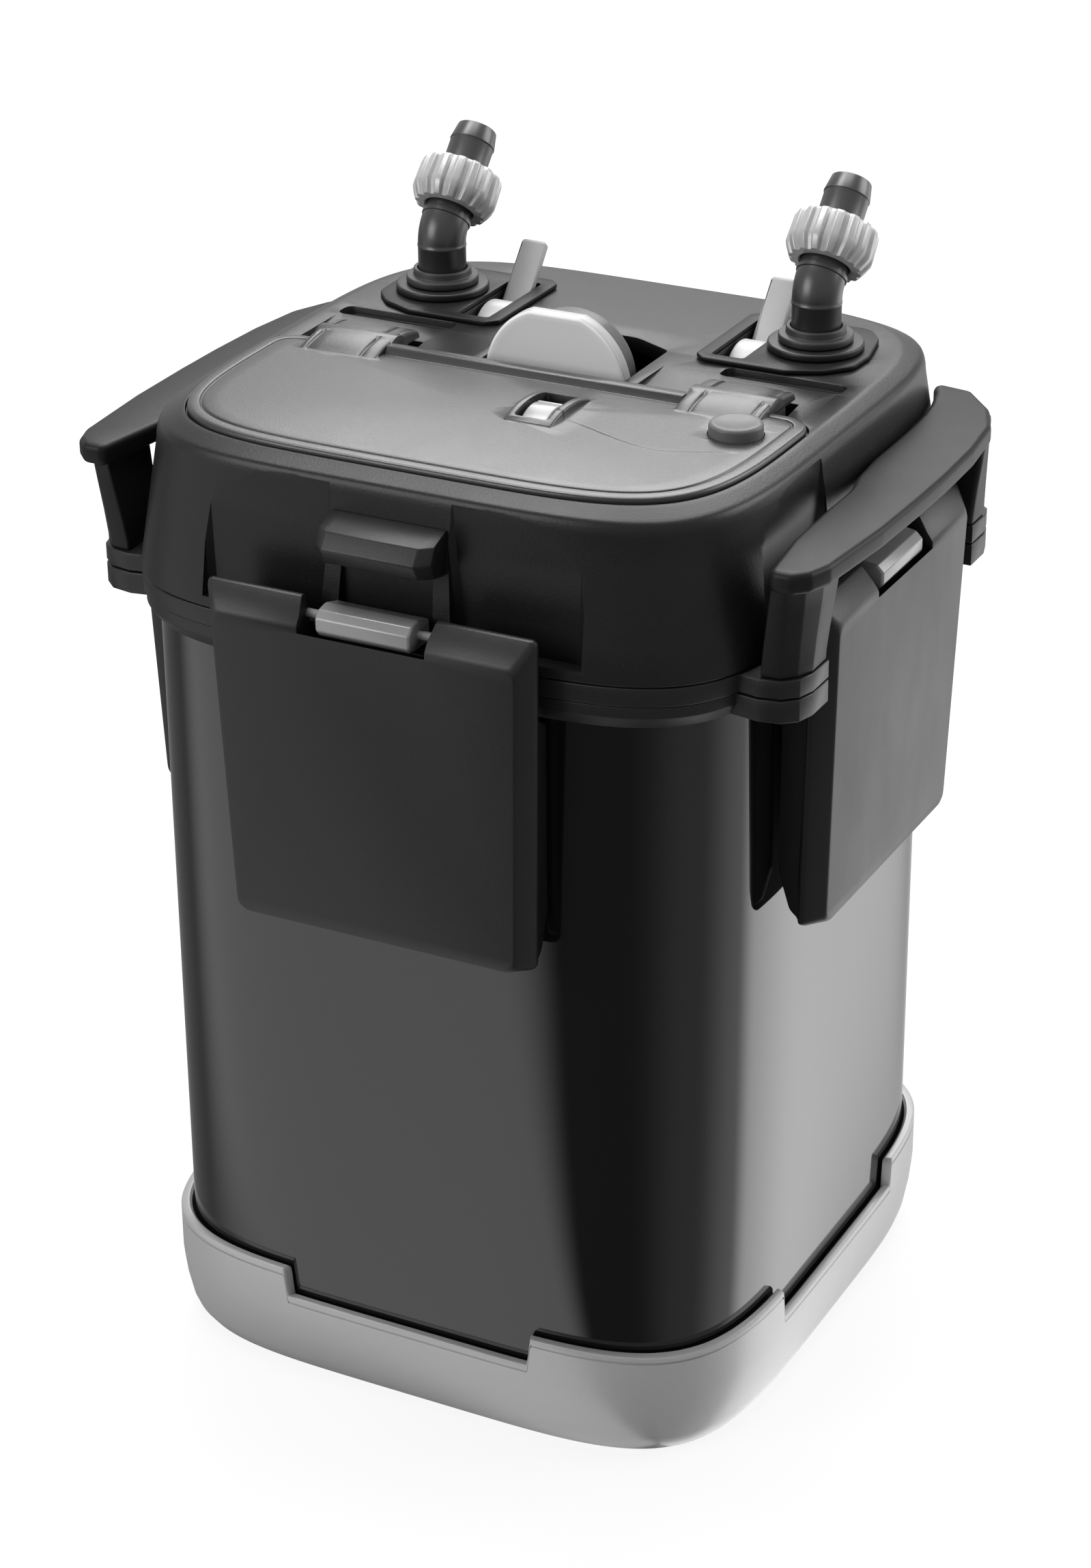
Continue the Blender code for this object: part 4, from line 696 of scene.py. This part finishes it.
def postPiece(side, end):
    # a post lofted from its foot on the head plate to the grip
    shares = ((0.2, 0, 0.35, 0), (0.77, 0, 0.77, 0), (0.73, 0.46, 0.62, 0.46), (0.62, 0.79, 0.38, 0.79),
              (0.44, 1, 0.12, 1), (0.21, 1, -0.04, 1))
    top = np.array([(126 + share * 26, 67 + run * 28) for share, run in (s[:2] if end < 0 else s[2:] for s in shares)])
    low = np.array([(126 + share * 15.5, 67 + run * 24) for share, run in (
        (0.1, 0), (0.97, 0), (0.97, 0.52), (0.8, 0.81), (0.52, 0.99), (0.03, 1.02))])
    rings = []
    for t, z in ((0.0, 317.0), (0.05, 320.5), (0.35, 330), (0.7, 342), (1.0, 354.5)):
        share = t ** 1.25
        pts = fillet(low * (1 - share) + top * share, [0.8, 2.0, 3, 3, 3, 0.8], 3)
        rings.append(ring(pts * (side, end), 2, z))
    return skin("post", rings)


def handle(side):
    # the wing with a post under each end
    piece = slab("grip", gripPlan(side), grip["low"], grip["top"], grip["edge"], 5)
    weld(piece, postPiece(side, -1), postPiece(side, 1))
    return soften(piece, 0.5, 40)


for word, side in (("left", -1), ("right", 1)):
    wear(handle(side), "gripBlack", "filter", "handle_" + word, name="handle" + word.capitalize())
print("handles made")


# clamps: one shape, turned to each side
clamp = {
    "pivotOut": 133.5, "pivotUp": 328.0, "top": 335.0, "low": 207.0, "face": 142.6, "lean": 4.0, "half": 64.5,
    "drawIn": 3.5, "thick": 9.5, "bevel": 5.0, "edge": 7.0, "notch": 25.0, "barHalf": 18.5,
}


def clampBody():
    # rounded plate of three outlines: inner face, edge and outer face drawn in by its bevel; then notch and cheeks
    c = clamp

    def outline(out, inset, drop, radius):
        # the plate's outline, drawn in by inset, at out from the middle less its lean
        half, top, low = c["half"] - inset, c["top"] - drop, c["low"] + 0.1 * drop
        corners = np.array([(-half, top), (half, top), (half - c["drawIn"], low), (-half + c["drawIn"], low)])
        flat = fillet(corners, [radius, radius, radius * 1.3, radius * 1.3], 6)
        lean = c["lean"] * (c["top"] - flat[:, 1]) / (c["top"] - c["low"])
        return ring(flat, 1, -(out - lean))

    f, bevel, drop = c["face"], c["bevel"], 1.9 * c["bevel"]
    inner, edge = f - c["thick"], f - c["edge"]
    piece = skin("clamp", [outline(*row) for row in (
        (inner, 0.8, 0.8, 2.0), (inner + 0.8, 0, 0, 2.2), (edge - 0.5, 0, 0, 2.2), (edge + 0.5, 0.35, 0.5, 2.3),
        (f - 0.9, bevel - 0.8, drop - 1.6, 3.2), (f - 0.15, bevel - 0.1, drop - 0.3, 3.6),
        (f, bevel + 0.8, drop + 1.0, 4.0))])
    cheek = [(inner + 1, 331), (127.5, 329), (127.5, 318), (129, 309.5), (129, 302), (121.6, 298.5), (121.6, 227),
             (126, 213), (f - c["lean"] - c["thick"] + 1.5, 209)]
    section = fillet(cheek, [1, 1, 2, 1, 1.5, 2, 8, 5, 1], 4) * (-1, 1)
    cheeks = []
    for side in (-1, 1):
        middle = side * (c["half"] - c["drawIn"] - 1.75 - 0.4)
        cheeks.append(skin("cheek", [ring(section, 0, middle + k) for k in (-1.75, 1.75)]))
    piece = weld(piece, *cheeks)
    pivot = at(0, -c["pivotOut"], c["pivotUp"])
    sweep = rod("sweep", 9.8, -c["notch"], c["notch"], pivot @ alongX, 48)
    gap = [(-c["notch"] - 3.5, 346), (-c["notch"], 329), (c["notch"], 329), (c["notch"] + 3.5, 346)]
    hole = rod("hole", 1.9, -28, 28, pivot @ alongX, 24)
    return soften(carve(piece, sweep, skin("gap", [ring(gap, 1, y) for y in (-150, -120)]), hole), 0.35, 34)


def hingeBar():
    # bar across the notch: flat top, rounded front, on its two trunnions
    c = clamp
    section = fillet([(-125.8, 331), (-125.8, 322.7), (-138.7, 322.7), (-141, 325.4), (-141, 329.8), (-138.4, 332.4),
                      (-133.5, 333.25)], [0.5, 0.5, 1.5, 2.2, 1.6, 1.6, 2], 4)
    half, middle = c["barHalf"], np.array([-133.0, 328.0])
    bar = skin("hingeBar", [ring(middle + (section - middle) * (1 - shrink / 7), 0, x) for x, shrink in (
        (-half, 0.7), (-half + 0.7, 0), (half - 0.7, 0), (half, 0.7))])
    pin = rod("pin", 1.6, -27.7, 27.7, at(0, -c["pivotOut"], c["pivotUp"]) @ alongX, 32)
    return soften(weld(bar, pin), 0.2)


clampBase, barBase = clampBody(), hingeBar()
for k, word in enumerate(("front", "right", "back", "left")):
    for base, name, finish, rides, node in (
            (clampBase, "clamp", "mouldedBlack", "clamp_" + word, "clamp_"),
            (barBase, "clampBar", "barGrey", "filter", "clamp_bar_")):
        piece = bpy.data.objects.new(name + word.capitalize(), base.data.copy())
        bpy.context.scene.collection.objects.link(piece)
        wear(moved(piece, spin(90 * k, "Z")), finish, rides, node + word)
for base in (clampBase, barBase):
    bpy.data.objects.remove(base, do_unlink=True)
print("clamps made")


# lid
def lidPanel():
    # outline lofted over its edge round, with a rim groove and a low dome towards the middle
    low, top, floor = level["lidLow"], level["lidTop"], level["lidTop"] - 0.5 - lid["groove"]
    base = lidPlan(lid["half"], lid["rear"])
    normal = inward(base)
    centre = np.array([0, -52])
    rings = []
    for inset, z in ((0.8, low), (0, low + 0.5), (0, top - 1.9), (0.25, top - 1.2), (0.8, top - 0.75), (1.5, top - 0.6),
                     (3.8, top - 0.45), (4.5, top - 0.5), (4.8, floor), (5.3, floor), (5.6, top - 0.45),
                     (6.4, top - 0.25)):
        rings.append(ring(base + inset * normal, 2, z))
    start = base + 6.4 * normal
    for t in (0.06, 0.15, 0.27, 0.42, 0.6, 0.8, 0.96):
        rings.append(ring(start + (centre - start) * t, 2, top - 0.25 + lid["dome"] * (1 - (1 - t) ** 2)))
    return skin("lidPanel", rings, smooth=36)


def brow(side):
    # smooth bulge over a hinge knuckle, a half sine that fades into the lid in front, with a rib along each end
    t = np.linspace(0, np.pi, 25)
    y = -5 + np.where(t < np.pi / 2, lid["browBehind"], lid["browAhead"]) * np.cos(t)
    rise = np.maximum(np.sin(t), 0) ** np.where(t < np.pi / 2, 0.7, 1.25)
    low, high = 377.2, 382.3
    rings = []
    for x, share in ((60.5, 0.55), (60.9, 0.86), (61.8, 0.97), (65.0, 1.0), (66.0, 0.97), (66.3, 0.78), (67.1, 0.78),
                     (67.4, 0.95), (69, 1.0), (76, 1.04), (84, 1.0), (88.6, 0.93), (88.9, 0.76), (89.7, 0.76),
                     (90.0, 0.9), (91.8, 0.88), (92.4, 0.76), (92.7, 0.5)):
        section = np.column_stack([y, low + (high - low) * rise * share])
        rings.append(ring(np.vstack([section, [(-24.2, 376.6), (12.2, 376.6)]]), 0, side * x))
    return skin("brow", rings, smooth=50)


def catchFrame():
    # upright sides round the catch, and a flat rim that follows a low arch
    cx, cy = lid["catchX"], lid["catchY"]
    y = np.linspace(-15.5, 15.5, 21)
    arch = 1.7 + 2.9 * (1 - (np.abs(y) / 15.5) ** 2.2)
    rings = []
    for x, drop in ((-9.5, 0.9), (-9.2, 0.3), (-8.6, 0.0), (8.6, 0.0), (9.2, 0.3), (9.5, 0.9)):
        top = 378.4 + arch - drop
        section = np.vstack([np.column_stack([cy + y, top]), [(cy + 15.5, 377.4), (cy - 15.5, 377.4)]])
        rings.append(ring(section, 0, cx + x))
    return skin("catchFrame", rings, smooth=50)


def lidPiece():
    # panel, knuckles under their brows, rear bar and catch frame in one, with the slot, button hole and rod bore
    parts = []
    for side in (-1, 1):
        parts += [rod("knuckle", 8.0, *span(side, 60.2, 93.0), rodLine, 64), brow(side)]
    bar = fillet([(-15.5, 378.0), (-7.1, 377.6), (-7.1, 380.6), (-13.0, 381.4)], [0, 0.4, 0.8, 1.6], 4)
    parts += [skin("rearBar", [ring(bar, 0, x) for x in (-60.3, 60.3)]), catchFrame()]
    piece = weld(lidPanel(), *parts)
    cx, cy = lid["catchX"], lid["catchY"]
    slot = fillet(oblong(cx - 6.6, cy - 12.6, cx + 6.6, cy + 12.6), 1.2, 3)
    return soften(carve(piece, slab("slot", slot, 370, 388),
                        rod("buttonHole", 10.0, 370, 388, at(lid["buttonX"], lid["buttonY"], 0), 64),
                        rod("bore", 1.8, -95, 95, rodLine, 24)), 0.22, 40)


def lidCrease(place):
    # in height over the lid: a shallow step along an S-curve from the catch to the right rim, a line round the
    # catch frame, a ring and two arcs round the button
    x, y, z = place.parts()
    on = z.ease(0.3772, 0.3777)
    curve = -0.0475 - 0.0135 * x.ease(0.020, 0.072) + 0.0120 * x.ease(0.070, 0.104)
    step = (y - curve).ease(-0.0010, 0.0010) * x.ease(0.018, 0.030) * (1 - x.ease(0.092, 0.099))
    across = ((x - 0.0215).size() - 0.0095).top(0.0)
    along = ((y + 0.0435).size() - 0.0155).top(0.0)
    away = (across * across + along * along).calc("SQRT")
    line = 1 - (away - 0.0052).size().ease(0.0002, 0.0005)
    dx, dy = x - 0.090, y + 0.033
    radius = (dx * dx + dy * dy).calc("SQRT")
    rear = (dx + dy * 0.6).ease(0.004, 0.008)
    inner, middle, outer = (1 - (radius - far).size().ease(0.0002, 0.0006) for far in (0.0133, 0.0172, 0.0210))
    arcs = inner + rear * (middle + outer)
    return (step * 0.55 - line * 0.35 - arcs * 0.3) * on


wear(lidPiece(), "lidBlack", "lid", "lid", lidCrease)


def sliderPiece():
    # rocker with an arched back, a shallow dip and a thin bright rib, on a flange under the lid
    x0, y0, y1 = lid["catchX"], lid["catchY"] - 11.2, lid["catchY"] + 11.2 - 3.5
    middle = (y0 + y1) / 2
    t = np.linspace(-1, 1, 33)
    top = 378.6 + 3.4 * (1 - np.abs(t) ** 2.0) + 0.5 * np.exp(-((t * 9.45 - 4.6) / 0.5) ** 2)
    section = np.vstack([np.column_stack([middle + t * 9.45, top]), [(y1, 373.3), (y0, 373.3)]])
    piece = skin("catchSlider", [ring(section - (0, drop), 0, x0 + x) for x, drop in (
        (-5.2, 0.5), (-4.6, 0), (4.6, 0), (5.2, 0.5))], smooth=45)
    flange = brick("flange", (x0 - 7.5, y0 - 2, 371.5), (x0 + 7.5, y1 + 2, 374.0))
    return soften(weld(piece, flange), 0.2)


wear(sliderPiece(), "barGrey", "catch_slider", "catch_slider")

button = turned("pushButton", [(10.8, 371.8), (10.8, 374.0), (9.7, 374.0), (9.7, 381.6), (9.55, 382.2), (9.1, 382.75),
                               (8.3, 383.0), (7.4, 382.95), (5, 382.6), (2, 382.4)],
                at(lid["buttonX"], lid["buttonY"], 0), 96, smooth=40)
wear(button, "buttonGrey", "push_button", "push_button")
for word, side in (("left", -1), ("right", 1)):
    x0, x1 = span(side, 55.2, 98)
    pin = turned("lidPin" + word.capitalize(), [(1.1, x0), (1.5, x0 + 0.4), (1.5, x1 - 0.4), (1.1, x1)], rodLine, 48)
    pin.data.materials.append(metal("steelPin", 0.30, 0.35))
    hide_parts("lid_pin_" + word)
    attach(pin, "filter")
print("lid made")


# flow dial: a flat-topped disc with a rounded rim, and its drum behind
dial = {"z": 370.0, "radius": 29.0, "flat": 27.0}


def dialPiece():
    # circle with its top cut flat, lofted along y with round edges
    radius, top = dial["radius"], dial["flat"]
    edge = math.acos(top / radius)
    t = np.linspace(math.pi / 2 + edge, 5 * math.pi / 2 - edge, 120)
    rim = np.column_stack([radius * np.cos(t), radius * np.sin(t)])
    flat = np.column_stack([np.linspace(rim[-1, 0], rim[0, 0], 14)[1:-1], np.full(12, top)])
    loop = np.vstack([rim, flat])
    normal = inward(loop)
    piece = skin("flowDial", [ring(loop + inset * normal + (0, dial["z"]), 1, y) for inset, y in (
        (6, 4.45), (3.2, 4.3), (1.4, 4.2), (0.7, 4.35), (0.2, 4.75), (0, 5.3), (0, 9.3), (0.3, 9.9), (0.9, 10.2))],
        smooth=45)
    return tidy(weld(piece, rod("spindle", 3, 9.2, 21.2, at(0, 0, dial["z"]) @ alongY, 48)), 45)


wear(dialPiece(), "dialGrey", "flow_dial", "flow_dial")


def drumPiece():
    # a short turned drum with a rounded shoulder, on a saddle over the motor
    profile = fillet([(3.3, 10.5), (22.5, 10.5), (24, 12.0), (24, 24.0), (19, 28.5), (3.3, 28.5)],
                     [0.2, 0.6, 0.8, 3.0, 2.0, 0.2], 5)
    piece = turned("dialHousing", profile, at(0, 0, dial["z"]) @ alongY, 128, loop=True)
    saddle = brick("saddle", (-10, 14.5, 340.0), (10, 20.5, 356))
    return soften(weld(piece, saddle), 0.2)


wear(drumPiece(), "buttonGrey", "filter", "dial_housing")
print("dial made")


# hose connectors, levers and their hubs
lean = Matrix.Rotation(-hose["tilt"], 4, "X")


def connectorPlate(side):
    # a flat plate on the deck, with the adapter's hole and the lever's slot
    x, inner, outer = side * hose["x"], side * 41.0, side * 99.9
    corner = side * 4
    pts = [(inner + corner, 35), (x, 35), (x + side * 12.9, 41), (outer - 0.2 * corner, 50), (outer, 63),
           (outer - corner, 82), (x + side * 10.75, 91), (inner + corner, 91), (inner, 87), (inner, 39)]
    outline = fillet(pts, [2, 6, 8, 8, 10, 8, 8, 2, 2, 2], 5)
    piece = slab("connectorPlate", outline, level["connector"], level["connector"] + 1.7, 0.5, 3)
    hole = rod("hole", 13.3, 370, 385, at(x, hose["y"], 0), 64)
    return soften(carve(piece, hole, leverSlot(side, 370, 385, 4)), 0.3, 50)


def elbowPiece(base):
    # circle carried up the pipe, round the bend and along the stem, then back down the bore
    t = np.linspace(0, 2 * np.pi, 72, endpoint=False)
    tilt, bend, rise = hose["tilt"], hose["bend"], hose["rise"]
    path = [(0, 0, z, radius) for z, radius in (
        (0, 9.3), (1, 9.3), (13.8, 9.3), (14.0, 9.45), (14.8, 9.45), (rise, 9.3))]
    for k in range(1, 13):
        angle = tilt * k / 12
        path.append((angle, bend * (1 - math.cos(angle)), rise + bend * math.sin(angle), 9.3))
    _, yEnd, zEnd, _ = path[-1]
    run = lambda s, r: (tilt, yEnd + s * math.sin(tilt), zEnd + s * math.cos(tilt), r)
    outer = path + [run(0.5, 9.3), run(0.8, 9.7), run(2.2, 9.7), run(2.5, 9.0), run(13.4, 9.0), run(13.7, 8.8)]
    inner = [run(13.7, 6.9), run(13.4, 6.8)] + [(a, y, z, 6.8) for a, y, z, _ in path[::-1] if abs(z - 14.2) > 0.8]
    rings = [base + np.column_stack([r * np.cos(t), r * np.sin(t) * math.cos(a) + y, -r * np.sin(t) * math.sin(a) + z])
             for a, y, z, r in outer + inner]
    return skin("elbow", rings, loop=True, smooth=40)


def nutPiece(end):
    # ribs and valleys round the nut: a rounded square wave in its radius, growing from foot to shoulder
    t = np.linspace(0, 2 * np.pi, 384, endpoint=False)
    wave = np.clip(np.cos(hose["ribs"] * t) * 1.9 + 0.35, -1, 1) * 0.5 + 0.5
    rings = []
    for radius, s, share in (
            (10.2, 5.0, 0), (12.6, 5.0, 0.3), (13.8, 5.25, 0.8), (14.2, 5.8, 1), (15.5, 8.0, 1), (16.45, 10.1, 1),
            (16.5, 12.0, 1), (16.2, 20.2, 1), (15.8, 21.3, 1), (15.0, 21.9, 0.7), (13.9, 22.0, 0.15), (12.2, 22.0, 0),
            (9.9, 21.6, 0), (9.5, 20.5, 0), (9.5, 5.6, 0)):
        reach = radius - 1.25 * share * (1 - wave)
        rings.append(np.column_stack([reach * np.cos(t), reach * np.sin(t), np.full(len(t), s)]))
    return moved(skin("hoseNut", rings, loop=True, smooth=35), Matrix.Translation(end) @ lean)


def leverPiece(swing):
    # a blade with a round tip and rounded faces, on a tang let into its hub
    half = valve["half"]
    face = fillet([(-half, 15.8), (half, 15.8), (half - 0.3, 43), (-half + 0.3, 43)], [0.3, 0.3, 1.6, 1.6], 5)
    normal = inward(face)
    blade = skin("leverBlade", [ring(face + inset * normal, 1, y) for inset, y in (
        (0.7, 0.0), (0.2, 0.2), (0, 0.7), (0, 2.8), (0.2, 3.3), (0.7, 3.5))])
    tang = brick("tang", (-2.5, 1, 9.3), (2.5, 2.5, 17))
    return moved(soften(weld(blade, tang), 0.15, 50), swing)


for word, side in (("In", -1), ("Out", 1)):
    small = word.lower()
    x, y, seat, flange = side * hose["x"], hose["y"], level["seat"], level["flange"]
    upright = at(x, y, 0)
    wear(connectorPlate(side), "gripBlack", "filter", "connector_plate_" + small, name="connectorPlate" + word)

    profile = fillet([(13, 317), (13, flange), (18, flange), (18, 381), (7, 381), (7, 370), (9.5, 370), (9.5, 351),
                      (7, 351), (7, 317)], [0.3, 0.3, 0.5, 0.8, 0.4, 0.3, 0.3, 0.3, 0.3, 0.3], 3)
    piece = turned("adapter" + word, profile, upright, 96, loop=True)
    axle = at(0, y, valve["z"]) @ alongX
    piece = carve(piece, rod("stemHole", 3.3, *sorted((x - side * 7, side * 58.8)), axle, 32))
    wear(tidy(piece, 38), "mouldedBlack", "filter", "adapter_" + small)

    profile = fillet([(9.6, seat), (14, seat), (14, 384.15), (11.2, 384.15), (11.2, 387), (9.6, 387)],
                     [0.3, 0.6, 0.7, 0.4, 0.7, 0.4], 3)
    piece = turned("grommet" + word, profile, upright, 96, loop=True)
    wear(piece, "blackRubber", "filter", "grommet_" + small)

    piece = elbowPiece(np.array([x, y, seat]))
    wear(piece, "hoseBlack", "elbow_" + small, "elbow_" + small, name="elbow" + word)
    tilt, bend = hose["tilt"], hose["bend"]
    end = Vector((x, y + bend * (1 - math.cos(tilt)), seat + hose["rise"] + bend * math.sin(tilt)))
    wear(nutPiece(end), "satinGrey", "hose_nut_" + small, "hose_nut_" + small, name="hoseNut" + word)

    profile = fillet([(9, 14), (9, 22.3), (8.6, 22.9), (8.6, 33), (8.95, 33.3), (7.7, 40), (6, 40), (6, 14)],
                     [0.2, 0.3, 0.3, 0.2, 0.3, 0.5, 0.4, 0.2], 3)
    piece = turned("hoseBarb" + word, profile, Matrix.Translation(end) @ lean, 96, loop=True)
    wear(piece, "hoseBlack", "elbow_" + small, "hose_barb_" + small)

    hubAt = at(side * valve["x"], y, valve["z"])
    swing = hubAt @ Matrix.Rotation(-valve["tilt"], 4, "X")
    wear(leverPiece(swing), "leverGrey", "valve_" + small, "valve_lever_" + small, name="valveLever" + word)
    hub = turned("leverHub" + word, [(4, -5.5), (14.9, -5.5), (15.35, -5.3), (15.5, -4.9), (15.5, 4.9), (15.35, 5.3),
                                     (14.9, 5.5), (4, 5.5)], hubAt @ alongX, 128, smooth=40)
    piece = carve(hub, moved(brick("cut", (-2.8, 0.7, 9.0), (2.8, 2.8, 18)), swing))
    wear(tidy(piece, 40), "whitePlastic", "valve_" + small, "lever_hub_" + small)
print("hose connectors made")


# the cord gland on the back wall
profile = fillet([(2.6, 118.5), (6, 118.5), (6, 121.5), (4.5, 122.5), (4.4, 124.2), (3.9, 124.5), (4.3, 125.0),
                  (4.2, 126.8), (3.8, 127.1), (4.1, 127.6), (4.0, 132.5), (2.6, 132.5)],
                 [0.2, 0.6, 0.6, 0.5, 0.1, 0.1, 0.1, 0.1, 0.1, 0.1, 0.5, 0.2], 2)
gland = turned("cordGland", profile, at(-48, 0, 347.5) @ alongY, 64, loop=True)
wear(gland, "blackRubber", "filter", "cord_gland")


# the pieces inside keep the CAD shape, and get a finish each
insideLooks = (
    (plastic("blackRubber"), "head_seal"),
    (plastic("polishedBlack"), "motor_housing"),
    (plastic("mouldedBlack"), "rotor_well volute_cover outlet_duct intake_riser basket_1 basket_2 basket_3"),
    (plastic("whitePlastic"), "impeller valve_ball_in valve_ball_out"),
    (metal("laminations", 0.45, 0.35, brush=(1, 1, 60)), "stator_core"),
    (metal("copperWire", 0.75, 0.3, (1, 0.45, 0.22), (1, 1, 40)), "stator_coil"),
    (metal("ferriteMagnet", 0.12, 0.5), "rotor_magnet"),
    (metal("steelPin", 0.30, 0.35), "rotor_shaft"),
    (porous("coarseFoam", 0.25, (0.25, 0.5, 1.0), 2.5, 0.8), "media_coarse"),
    (porous("ceramicRings", 0.55, (1, 0.87, 0.7), 9.0, 2.0), "media_ceramic"),
    (porous("fineFloss", 0.8, (1, 1, 1), 0.8, 0.4), "media_fine"),
)
for look, names in insideLooks:
    for name in names.split():
        target = bpy.data.objects[name]
        for place in target.material_slots:
            place.material = look
        if not target.material_slots:
            target.data.materials.append(look)
print("inside finishes given")


# floor, lamps and world
room = {"floor": 0.86, "sky": 0.22, "mirror": 0.75, "lit": 0.87}


def glow(place):
    # what gloss sees round the object, by azimuth about its front corner: white cards at the front left and the
    # right rear, and the unlit room behind the camera between them
    x, y, _ = place.parts()
    y = y + 0.110
    angle = y.calc("ARCTAN2", y, x - 0.100) * (180 / math.pi)
    return (0.25 + angle.ease(-178, -160) * 1.02 - angle.ease(-124, -110) * 1.19 + angle.ease(-80, -20) * 0.27
            + angle.ease(-5, 36) * 0.50 + angle.ease(37, 51) * 1.55 - angle.ease(66, 90) * 1.75
            - angle.ease(110, 150) * 0.40)


def rays(start):
    # which rays come from the camera, and which from gloss or through glass
    kinds = ("Is Camera Ray", "Is Glossy Ray", "Is Transmission Ray")
    camera, glossy, through = (start.make("LightPath", {}, {}, kind) for kind in kinds)
    return camera, glossy.top(through)


def world():
    # the camera sees white, gloss and glass see the cards, and a soft grey lights the object
    sky = bpy.data.worlds.new("studio")
    bpy.context.scene.world = sky
    sky.use_nodes = True
    tree = sky.node_tree
    tree.nodes.clear()
    start = Wire(tree)
    camera, mirrored = rays(start)
    soft, cards, white = (start.make("Background", {}, {"Color": grey(1.0), "Strength": k})
                          for k in (room["sky"], room["mirror"], 1.0))
    out = tree.nodes.new("ShaderNodeOutputWorld")
    camera.either(mirrored.either(soft, cards), white).feed(out.inputs[0])


world()


def floor():
    # a pale slab that gloss sees as the cards, and the camera as nearly white
    wide = 9000
    plane = brick("floor", (-wide, -wide, -40), (wide, wide, 0))
    material = bpy.data.materials.new("paleFloor")
    material.use_nodes = True
    tree = material.node_tree
    tree.nodes.clear()
    start = Wire(tree)
    camera, mirrored = rays(start)
    diffuse = start.make("BsdfDiffuse", {}, {"Color": grey(room["floor"])})
    strength = glow(start.make("TexCoord", {}, {}, "Object"))
    white, cards = (start.make("Emission", {}, {"Color": grey(1.0), "Strength": k}) for k in (1.0, strength))
    seen = start.make("MixShader", {}, {0: room["lit"], 1: diffuse, 2: white})
    out = tree.nodes.new("ShaderNodeOutputMaterial")
    camera.either(mirrored.either(diffuse, cards), seen).feed(out.inputs[0])
    plane.data.materials.append(material)


floor()


def lamp(name, azimuth, height, distance, size, power, aim=(0, 0, 0.2)):
    # an area lamp that looks at the object, placed by its azimuth and height in degrees
    a, h = math.radians(azimuth), math.radians(height)
    here = Vector(aim) + distance * Vector((math.cos(a) * math.cos(h), math.sin(a) * math.cos(h), math.sin(h)))
    data = bpy.data.lights.new(name, "AREA")
    data.shape = "RECTANGLE"
    data.size, data.size_y = size
    data.energy = power
    light = bpy.data.objects.new(name, data)
    light.matrix_world = Matrix.Translation(here) @ (Vector(aim) - here).to_track_quat("-Z", "Y").to_matrix().to_4x4()
    light.visible_camera = False
    bpy.context.scene.collection.objects.link(light)


lamp("frontLeft", -122, 24, 2.6, (1.4, 1.2), 36)
lamp("rightRear", 38, 26, 2.4, (1.4, 1.2), 34)
lamp("topBack", 106, 60, 2.0, (1.5, 2.8), 90, (0.0, -0.06, 0.376))
lamp("shoulder", 172, 66, 1.8, (0.7, 0.5), 15, (0.0, -0.1, 0.37))

bpy.context.scene.view_settings.view_transform = "Standard"
print("stage lit")
